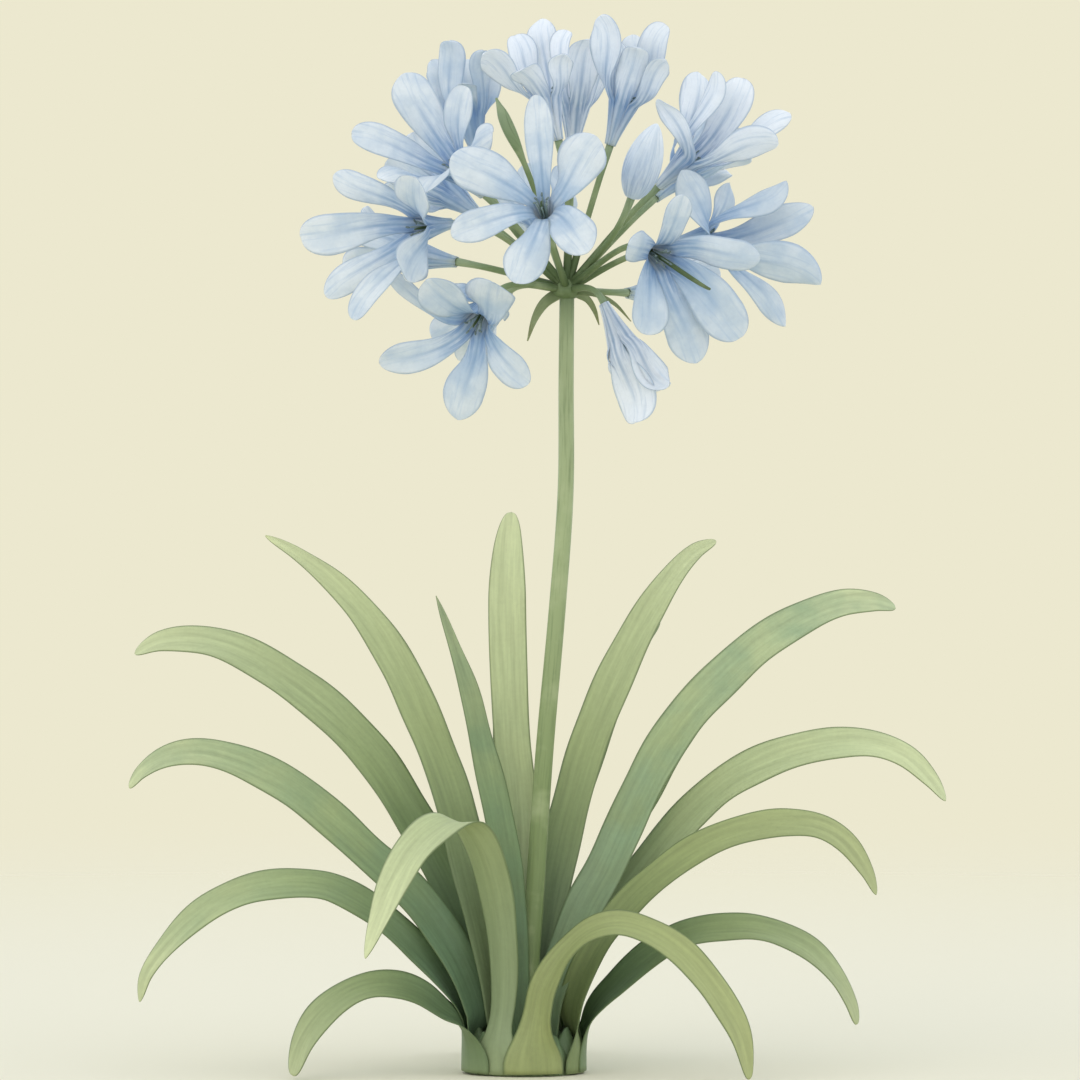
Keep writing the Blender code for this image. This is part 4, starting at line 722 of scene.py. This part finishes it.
# Along runs from -1 at the foot of the tube through 0 at the throat to 1 at the petal's tip, and here
# cool is the depth of the blue towards the throat.
def petalMaterial(name, look):
    material, tree, shader = newMaterial(name, {
        "Roughness": 0.6, "Specular IOR Level": 0.2, "Subsurface Weight": 0.3,
        "Subsurface Scale": 3.0 * millimetre, "Subsurface Radius": (1.0, 1.0, 1.0)})
    along, edge, upper = mark(tree, "along"), mark(tree, "edge"), mark(tree, "upper")
    paint = rampOf(tree, rescale(tree, along, (-1.0, 1.0)), look["ramp"])
    # The inner face of the tube and throat is painted paler, as painted light against the shade down the
    # throat.
    paintedLightInsideShare = times(tree, rescale(tree, along, (0.08, -0.2), (0.0, 0.8)), upper)
    paint = overlay(tree, paint, look["inside"], paintedLightInsideShare)
    # The outer face is painted a deeper blue, as painted shade.
    paint = washOver(tree, paint, look["outside"], upper, (1.0, 0.0), 0.25)
    wash = cloud(tree, look["washSize"])
    paint = washOver(tree, paint, look["light"], wash, (0.45, 0.75), 0.6)
    paint = washOver(tree, paint, look["deep"], wash, (0.52, 0.28), 0.45)
    # Whole florets are painted lighter or darker: partly their own tone, partly painted light and shade.
    paint = paintLightAndShade(tree, paint, look["bright"], look["deep"], 0.8)
    lines = drawnLines(tree, look["lineSpacing"], look["lineStretch"], wash, 3.0, 0.55)
    paint = washOver(tree, paint, look["deep"], lines, (0.5, 0.68), 0.38)
    clawShare = times(tree, rescale(tree, along, (0.44, 0.02)), rescale(tree, along, (-0.75, -0.05)))
    streaks = times(tree, rescale(tree, lines, (0.42, 0.6), (0.25, 1.0)), mark(tree, "cool"))
    paint = overlay(tree, paint, look["claw"], times(tree, clawShare, streaks))
    veinShare = times(tree, rescale(tree, edge, (0.0, 0.26), (1.0, 0.0), "SMOOTHSTEP"),
                      rescale(tree, along, (0.0, 0.85), (0.75, 0.0)))
    paint = overlay(tree, paint, look["vein"], veinShare)
    paint = washOver(tree, paint, look["rim"], edge, (0.86, 1.0), 0.7, "SMOOTHSTEP")
    setNode(tree, shader, {"Base Color": flecked(tree, paint, look["fleckSize"], 0.05),
                           "Normal": bumped(tree, lines, 0.3)})
    return material


# Soft green stem tissue: smooth and slightly ribbed, so it has a low even sheen and long streaks. High
# on the stalk its green is painted lighter, as painted light against the shade under the head; it turns
# darker at its foot and again just under the hub.
stemLook = {
    "ramp": [(0.0, "#748658"), (0.33, "#849562"), (0.7, "#A2B081"), (0.93, "#A9B587"),
             (1.0, "#6E7F57")],
    "dark": "#67784F", "light": "#B3BD90", "streak": 0.9, "streakStretch": 0.05, "washSize": 11.0,
}
# Pedicel: the same tissue, painted darker where the pedicels crowd together at the hub, as painted
# shade, and lighter towards the florets.
pedicelLook = {**stemLook, "ramp": [(0.0, "#55673F"), (0.25, "#64764B"), (0.7, "#7F9162"),
                                    (1.0, "#93A480")]}
# Filament: a pale moist thread, greyer than the petals. Style: the same, but of a deep green.
filamentLook = {**stemLook, "ramp": [(0.0, "#A2B3AC"), (0.6, "#93A598"), (1.0, "#9DB0A4")],
                "dark": "#84998A", "light": "#C8D4D8"}
styleLook = {**stemLook, "ramp": [(0.0, "#55673F"), (1.0, "#55663F")], "dark": "#414F30",
             "light": "#8C9A6A"}
# Anther: a dry sac dusted with pollen, so it is rough and grey.
antherLook = {**stemLook, "ramp": [(0.0, "#66777A"), (1.0, "#72837C")], "dark": "#56676B",
              "light": "#8B9A94"}
# Bract: papery dry skin, so it is rough and browner than the stem.
bractLook = {**stemLook, "ramp": [(0.0, "#7A8A5C"), (0.6, "#8B9468"), (1.0, "#9A9466")],
             "dark": "#6B7350"}


def stemMaterial(name, look, roughness=0.5):
    material, tree, shader = newMaterial(name, {"Specular IOR Level": 0.3})
    paint = rampOf(tree, mark(tree, "along"), look["ramp"])
    streak = drawnLines(tree, look["streak"], look["streakStretch"], 0.0, 4.0)
    paint = washOver(tree, paint, look["dark"], streak, (0.5, 0.75), 0.6)
    paint = washOver(tree, paint, look["light"], cloud(tree, look["washSize"]), (0.5, 0.75), 0.6)
    gloss = rescale(tree, streak, (0.0, 1.0), (roughness - 0.08, roughness + 0.08))
    setNode(tree, shader, {"Base Color": paint, "Roughness": gloss, "Normal": bumped(tree, streak, 0.3)})
    return material


# Round rings square to a route, with shallow ribs where they are asked for.
def tubeLoft(shape, route, radius, sides, skin=0, ribs=0, ribDepth=0.0):
    whole = (route[-1] - route[0]).normalized()
    guide = min((Vector((1, 0, 0)), Vector((0, 1, 0)), upward), key=lambda axis: abs(axis.dot(whole)))
    rings, told = [], []
    for i, way in enumerate(tangents(route)):
        share = i / (len(route) - 1)
        side = squareTo(guide, way).normalized()
        other = way.cross(side)
        sizes = [(a, radius(share) * (1.0 + ribDepth * math.cos(ribs * a))) for a in turns(sides)]
        rings.append([route[i] + side * (math.cos(a) * size) + other * (math.sin(a) * size)
                      for a, size in sizes])
        told.append({"along": share, "span": [a * size for a, size in sizes],
                     "reach": lengthOf(route[:i + 1]), "edge": 0.5, "upper": 1.0})
    loft(shape, rings, told, skin)


# A rounded body of oval section along an axis, such as an anther or the hub.
def spindle(shape, foot, tip, radii, rows, sides, skin=0, lump=0.0, lumps=5):
    axis = tip - foot
    way = axis.normalized()
    side = way.orthogonal().normalized()
    other = way.cross(side)
    rings, told = [], []
    for i in range(1, rows):
        turn = math.pi * i / rows
        centre = foot + axis * (0.5 - 0.5 * math.cos(turn))
        sizes = [(a, math.sin(turn) * (1.0 + lump * math.cos(lumps * a))) for a in turns(sides)]
        rings.append([centre + side * (math.cos(a) * size * radii[0])
                      + other * (math.sin(a) * size * radii[1]) for a, size in sizes])
        told.append({"along": i / rows, "span": [radii[0] * a for a in turns(sides)],
                     "reach": axis.length * i / rows, "edge": 0.5, "upper": 1.0})
    loft(shape, rings, told, skin)


def flowerFrame(axis):
    right = upward.cross(axis).normalized()
    return right, axis.cross(right)


def around(axis, angle):
    right, above = flowerFrame(axis)
    return right * math.cos(angle) + above * math.sin(angle)


# Turn of each tepal round the floret: evenly spaced, in the order of their tips.
def startAngles(tips, axis):
    right, above = flowerFrame(axis)
    seen = [math.atan2(tip.dot(above), tip.dot(right)) for tip in tips]
    order = sorted(range(len(tips)), key=lambda i: seen[i])
    spacing = fullTurn / len(tips)
    first = sum(seen[i] - spacing * k for k, i in enumerate(order)) / len(tips)
    return order, [first + spacing * k for k in range(len(tips))]


def tepalPath(s, angle, tip, axis, throat):
    out = around(axis, angle)
    start = throat + out * s["throatRadius"]
    end = throat + tip
    reach = (end - start).length
    leave = (axis * s["leave"][0] + out * s["leave"][1]).normalized()
    across = squareTo(tip, axis).normalized()
    arrive = ((end - start).normalized() + across * s["recurve"][0] - axis * s["recurve"][1]).normalized()
    path = interpolate_bezier(start, start + leave * reach * s["bend"][0],
                              end - arrive * reach * s["bend"][1], end, s["pathSteps"])
    return evenly(path + [end + (path[-1] - path[-2]).normalized() * s["tip"]], s["pathSteps"])


# A tepal is narrow where it leaves the throat, broadest past its middle, and round at the end.
def tepalHalfWidth(s, along, full, claw):
    turnsAt = s["broadestAt"]
    grown = mix(claw, full * s["broadest"], smoothStep(along / turnsAt) ** s["growth"])
    if along > turnsAt:
        left = (along - turnsAt) / (1.0 - turnsAt)
        grown *= max(1.0 - left ** s["roundness"], 0.0) ** s["endPower"] + s["bluntness"]
    return grown


# One tepal from the foot of the tube to its tip. Its layer is 1 or -1, as it lies inside or outside
# its neighbours, and its phase sets where its edge is ruffled.
def makeTepal(shape, s, foot, throat, axis, angle, tip, width, layer, phase):
    side = axis.cross(around(axis, angle))
    spread = math.pi / s["tepals"] * s["tubeOverlap"]
    inset = -s["tubeLayer"] * layer
    rings = []

    def skin(x):
        return mix(s["thickness"], s["edgeThickness"], abs(x) ** 3.0)

    for row in range(s["tubeRows"]):
        share = row / s["tubeRows"]
        radius = mix(s["footRadius"], s["throatRadius"], share ** s["flare"]) + inset

        def tubePoint(x, raised):
            out = around(axis, angle + spread * x)
            return foot + axis * (s["tube"] * share) + out * radius - out * raised

        rings.append(skinRing(tubePoint, skin, s["columns"], radius * spread, share - 1.0,
                              s["tube"] * (share - 1.0), s["tubeEdge"]))

    path = tepalPath(s, angle, tip, axis, throat)
    last = len(path) - 1
    length = lengthOf(path)
    claw = s["throatRadius"] * math.sin(spread)

    def bearing(step):
        way = (path[min(int(step) + 2, last)] - path[max(int(step) - 1, 0)]).normalized()
        return way, way.cross(squareTo(side, way).normalized()), squareTo(viewer, way)

    middle = bearing(len(path) * s["turnedBy"])
    sense = math.copysign(s["showing"], middle[2].dot(middle[1]))
    for row in range(s["petalRows"] + 1):
        along = 1.0 - (1.0 - row / s["petalRows"]) ** s["tipCrowding"]
        step = min(along * last, last - 0.001)
        place = path[int(step)].lerp(path[int(step) + 1], step % 1.0)
        way, front, seen = bearing(step)
        seen *= sense * smoothStep(along / s["turnedBy"])
        front = (front * (1.0 - seen.length) + seen).normalized()
        across = front.cross(way)
        half = tepalHalfWidth(s, along, width, claw)
        thin = min(half / 1.5, 1.0)
        flat = smoothStep(along / s["flattenBy"])
        shift = s["layer"] * layer * math.sin(math.pi * min(along, 0.5)) - inset * (1.0 - flat)

        def petalPoint(x, raised):
            turn = spread * x
            ruffle = s["ruffle"] * math.sin(phase + along * s["ruffleTurns"] + 2.0 * x) * x * x * flat
            cup = math.copysign(s["cup"] * half * 2.0, layer) * abs(x) ** s["cupPower"]
            midrib = s["midrib"] * (1.0 - min(abs(x) / s["midribHalf"], 1.0)) * flat * (1.0 - along)
            edgePhase = phase + along * s["waveTurns"] + (1.7 if x > 0.0 else 0.0)
            waved = half * (1.0 + s["waviness"] * math.sin(edgePhase))
            sideways = mix(half * math.sin(turn) / math.sin(spread), waved * x, flat)
            forward = mix(s["throatRadius"] * (1.0 - math.cos(turn)), cup + ruffle - midrib, flat) + shift
            return place + across * sideways + front * forward + front * raised

        rings.append(skinRing(petalPoint, lambda x: skin(x) * thin, s["columns"], half, along,
                              length * along))
    loft(shape, *zip(*rings))


petalSkin, filamentSkin, antherSkin, styleSkin = range(4)


def makeFloret(node, throat, axis, tint, tepals, showing, materials):
    s = {**floretSet, "showing": showing, **floretOwn.get(node, {})}
    axis = Vector(axis).normalized()
    throat = hub + Vector(throat)
    foot = throat - axis * s["tube"]
    order, angles = startAngles([Vector(t[:3]) for t in tepals], axis)
    shape = newShape(tint, s["claw"])
    for k, i in enumerate(order):
        makeTepal(shape, s, foot, throat, axis, angles[k], Vector(tepals[i][:3]), tepals[i][3],
                  1.0 if k % 2 == 0 else -1.0, 2.1 * k + throat.x)
    below, above, width = s["footCap"]
    spindle(shape, foot - axis * below, foot + axis * above, (s["footRadius"] * width,) * 2,
            rows=8, sides=18, skin=petalSkin)

    ovaryRadius, ovaryLength = s["ovary"]
    spindle(shape, foot, foot + axis * ovaryLength, (ovaryRadius, ovaryRadius), rows=10, sides=12,
            skin=styleSkin)
    styleEnd = throat + Vector(s.get("style", axis * s["styleReach"]))
    bow = around(axis, angles[0]) * s["styleBow"]
    style = interpolate_bezier(foot + axis * (ovaryLength - 1.0), foot + axis * (ovaryLength + 4.0),
                               styleEnd - axis * 4.0 + bow, styleEnd, s["threadSteps"])
    tubeLoft(shape, style, lambda share: s["styleRadius"] * (0.5 + 0.5 * math.sin(math.pi * share)),
             s["threadSides"], styleSkin)
    antherLength, antherRadius = s["anther"]
    for k in range(s["tepals"]):  # a filament before each tepal, every second one shorter
        out = around(axis, angles[k] + 0.18 * math.sin(3.0 * k + throat.z))
        start = foot + axis * (ovaryLength + 0.4 * k) + out * 1.1
        end = throat + axis * (s["filamentReach"] - s["shorterBy"] * (k % 2)) + out * s["filamentSpread"]
        filament = interpolate_bezier(start, start + axis * 6.0, end - axis * 4.0 - out, end,
                                      s["threadSteps"])
        tubeLoft(shape, filament, lambda share: mix(*s["filamentRadii"], share), s["threadSides"],
                 filamentSkin)
        lean = (out * 0.9 + axis * 0.45).normalized() * antherLength / 2.0
        spindle(shape, end - lean, end + lean, (antherRadius, antherRadius * 0.8), rows=8, sides=10,
                skin=antherSkin, lump=0.15, lumps=2)
    finishPiece(node, shape, materials)
    return foot, axis


def halfOpenTepals(axis, turn):
    axis = Vector(axis).normalized()
    tepals = []
    for angle in turns(floretSet["tepals"]):
        out = around(axis, math.radians(turn) + angle)
        tepals.append((*(axis * backSet["reach"] + out * backSet["spread"]), backSet["width"]))
    return tepals


def makeBud(material):
    s = budSet
    foot = hub + Vector(s["foot"])
    tip = hub + Vector(s["tip"])
    axis = (tip - foot).normalized()
    length = (tip - foot).length
    rings, told = [], []
    for row in range(1, s["rows"]):
        along = 0.5 - 0.5 * math.cos(math.pi * row / s["rows"])
        rise, power, most = s["belly"]
        belly = math.sin(math.pi * along ** rise) ** power * most + s["neck"] * (1.0 - along)
        ring, edges, spans = [], [], []
        for turn in turns(s["sides"]):
            angle = turn + 0.5 * along
            wave = math.cos(floretSet["tepals"] * angle)
            relief = 1.0 + s["ribs"] * wave - s["grooves"] * max(-wave, 0.0) ** 4
            size = s["radius"] * belly * relief * min(smoothStep(along / 0.02) + 0.3, 1.0)
            ring.append(foot + axis * (along * length) + around(axis, angle) * size)
            edges.append(0.5 - s["seam"] * wave)
            spans.append(angle * s["radius"])
        rings.append(ring)
        told.append({"along": mix(*s["petalShare"], along), "edge": edges, "span": spans,
                     "reach": along * length, "upper": 0.0})
    shape = newShape(s["tint"], s["claw"])
    loft(shape, rings, told)
    finishPiece("floret_bud", shape, [material])
    return foot + axis * 0.7, axis


stalkSkin, pedicelSkin, bractSkin = range(3)


def makeStalk(feet, materials):
    s = stalkSet
    shape = newShape()
    tubeLoft(shape, smoothRoute(s["route"], s["rows"]),
             lambda share: mix(s["footRadius"], s["topRadius"], share), s["sides"], stalkSkin, s["ribs"],
             s["ribDepth"])
    height = Vector((0.0, 0.0, s["hubRadii"][2]))
    spindle(shape, hub - height, hub + height, s["hubRadii"][:2], rows=16, sides=36, skin=pedicelSkin,
            lump=0.05, lumps=9)
    low, mid, high = s["pedicelRadii"]

    def pedicelRadius(share):
        slim = mix(low, mid, smoothStep(share / 0.5))
        return mix(slim, high, smoothStep((share - s["swollenFrom"]) / (1.0 - s["swollenFrom"])))

    for foot, axis in feet:
        end = foot + axis * s["sunk"]
        reach = (end - hub).length
        leave = (end - hub).normalized().lerp(axis, -s["splay"]).normalized()
        route = interpolate_bezier(hub, hub + leave * reach * s["bend"], end - axis * reach * s["bend"],
                                   end, s["pedicelRows"])
        tubeLoft(shape, route, pedicelRadius, s["pedicelSides"], pedicelSkin, ribs=6, ribDepth=0.04)
    for width, points in bracts:
        makeBract(shape, width, points)
    makeYoungBud(shape)
    finishPiece("scape", shape, materials)


# One slim bud on its own pedicel, still green.
def makeYoungBud(shape):
    s = youngBudSet

    def radius(share):
        bulge = math.sin(math.pi * smoothStep((share - s["swollenFrom"]) / s["swollenFor"])) ** 0.7
        return s["stemRadius"] * (1.0 - 0.75 * smoothStep((share - 0.9) / 0.1)) + s["swell"] * bulge

    route = smoothRoute([hub + Vector(p) for p in s["route"]], s["rows"])
    tubeLoft(shape, route, radius, s["sides"], pedicelSkin, ribs=3, ribDepth=0.1)


def makeBract(shape, width, points):
    s = bractSet
    route = smoothRoute([hub + Vector(p) for p in points], s["rows"])
    rings = []
    for row, way in enumerate(tangents(route)):
        along = row / s["rows"]
        normal = squareTo(Vector(s["facing"]), way).normalized()
        side = normal.cross(way)
        half = width / 2.0 * (1.0 - s["taper"] * along ** 1.4)

        def pointAt(x, raised):
            lift = s["channel"] * half * abs(x) + s["ripple"] * math.sin(8.0 * along + 2.0 * x)
            return route[row] + side * (x * half) + normal * (lift + raised)

        rings.append(skinRing(pointAt, lambda x: s["thickness"] * (1.0 - 0.5 * x * x), s["columns"],
                              half, mix(0.2, 0.8, along), along * 20.0))
    loft(shape, *zip(*rings), bractSkin)


floretMaterials = [petalMaterial("powderyPetal", petalLook), stemMaterial("paleFilament", filamentLook),
                   stemMaterial("pollenAnther", antherLook, 0.75), stemMaterial("greenStyle", styleLook)]
pedicelFeet = []
for floretNode, (throat, axis, tint, tepals) in florets.items():
    pedicelFeet.append(makeFloret(floretNode, throat, axis, tint, tepals, floretSet["showing"],
                                  floretMaterials))
for floretNode, (throat, axis, turn) in backFlorets.items():
    pedicelFeet.append(makeFloret(floretNode, throat, axis, backSet["tint"], halfOpenTepals(axis, turn),
                                  0.0, floretMaterials))
pedicelFeet.append(makeBud(floretMaterials[petalSkin]))
print("florets:", len(florets) + len(backFlorets), "and a bud")

makeStalk(pedicelFeet, [stemMaterial("softGreenStem", stemLook),
                        stemMaterial("pedicelGreenPaintedShade", pedicelLook),
                        stemMaterial("paperyBract", bractLook, 0.75)])
print("stalk done")

# Studio: a pale floor that fades into an even pale room, and soft light from the upper left.
studioSet = {
    "room": "#ECE8CF", "roomLight": "#EDF2FA", "roomStrength": 1.16, "floor": "#E9E4CB",
    "floorRadius": 6.0, "fadeFrom": 0.3, "fadeTo": 1.6,
    "keyPlace": (-1.5, -3.0, 2.2), "keySize": 2.4, "keyPower": 20.0, "keyColour": "#FFECD2",
}


def makeFloor():
    s = studioSet
    bpy.ops.mesh.primitive_circle_add(vertices=128, radius=s["floorRadius"], fill_type="NGON",
                                      location=(0.0, 0.0, 0.0))
    floor = bpy.context.object
    floor.name = "studioFloor"
    material, tree, shader = newMaterial("paleStudioPaper", {"Roughness": 0.9,
                                                             "Base Color": linear(s["floor"])})
    place = addNode(tree, "ShaderNodeTexCoord", {}).outputs["Object"]
    away = addNode(tree, "ShaderNodeVectorMath", {"operation": "LENGTH", 0: place}).outputs["Value"]
    fade = rescale(tree, away, (s["fadeFrom"], s["fadeTo"]), (1.0, 0.0), "SMOOTHSTEP")
    setNode(tree, shader, {"Alpha": fade})
    floor.data.materials.append(material)


# The room is seen in one colour and lights the plant in another.
def makeRoom():
    s = studioSet
    world = bpy.data.worlds.new("studioRoom")
    world.use_nodes = True
    tree = world.node_tree
    seen = addNode(tree, "ShaderNodeLightPath", {}).outputs["Is Camera Ray"]
    colour = addNode(tree, "ShaderNodeMixRGB", {"Color1": linear(s["roomLight"]),
                                                "Color2": linear(s["room"]), "Fac": seen})
    setNode(tree, tree.nodes["Background"], {
        "Color": colour.outputs["Color"],
        "Strength": rescale(tree, seen, (0.0, 1.0), (s["roomStrength"], 1.0))})
    bpy.context.scene.world = world
    bpy.context.scene.view_settings.view_transform = "Standard"


def makeKeyLight():
    s = studioSet
    light = bpy.data.lights.new("softKey", "AREA")
    light.size = s["keySize"]
    light.energy = s["keyPower"]
    light.color = linear(s["keyColour"])[:3]
    key = bpy.data.objects.new("softKey", light)
    key.location = s["keyPlace"]
    aim = Vector(cameraSet["aim"]) * millimetre
    key.rotation_euler = (aim - key.location).to_track_quat("-Z", "Y").to_euler()
    bpy.context.scene.collection.objects.link(key)


makeFloor()
makeRoom()
makeKeyLight()
print("studio set")
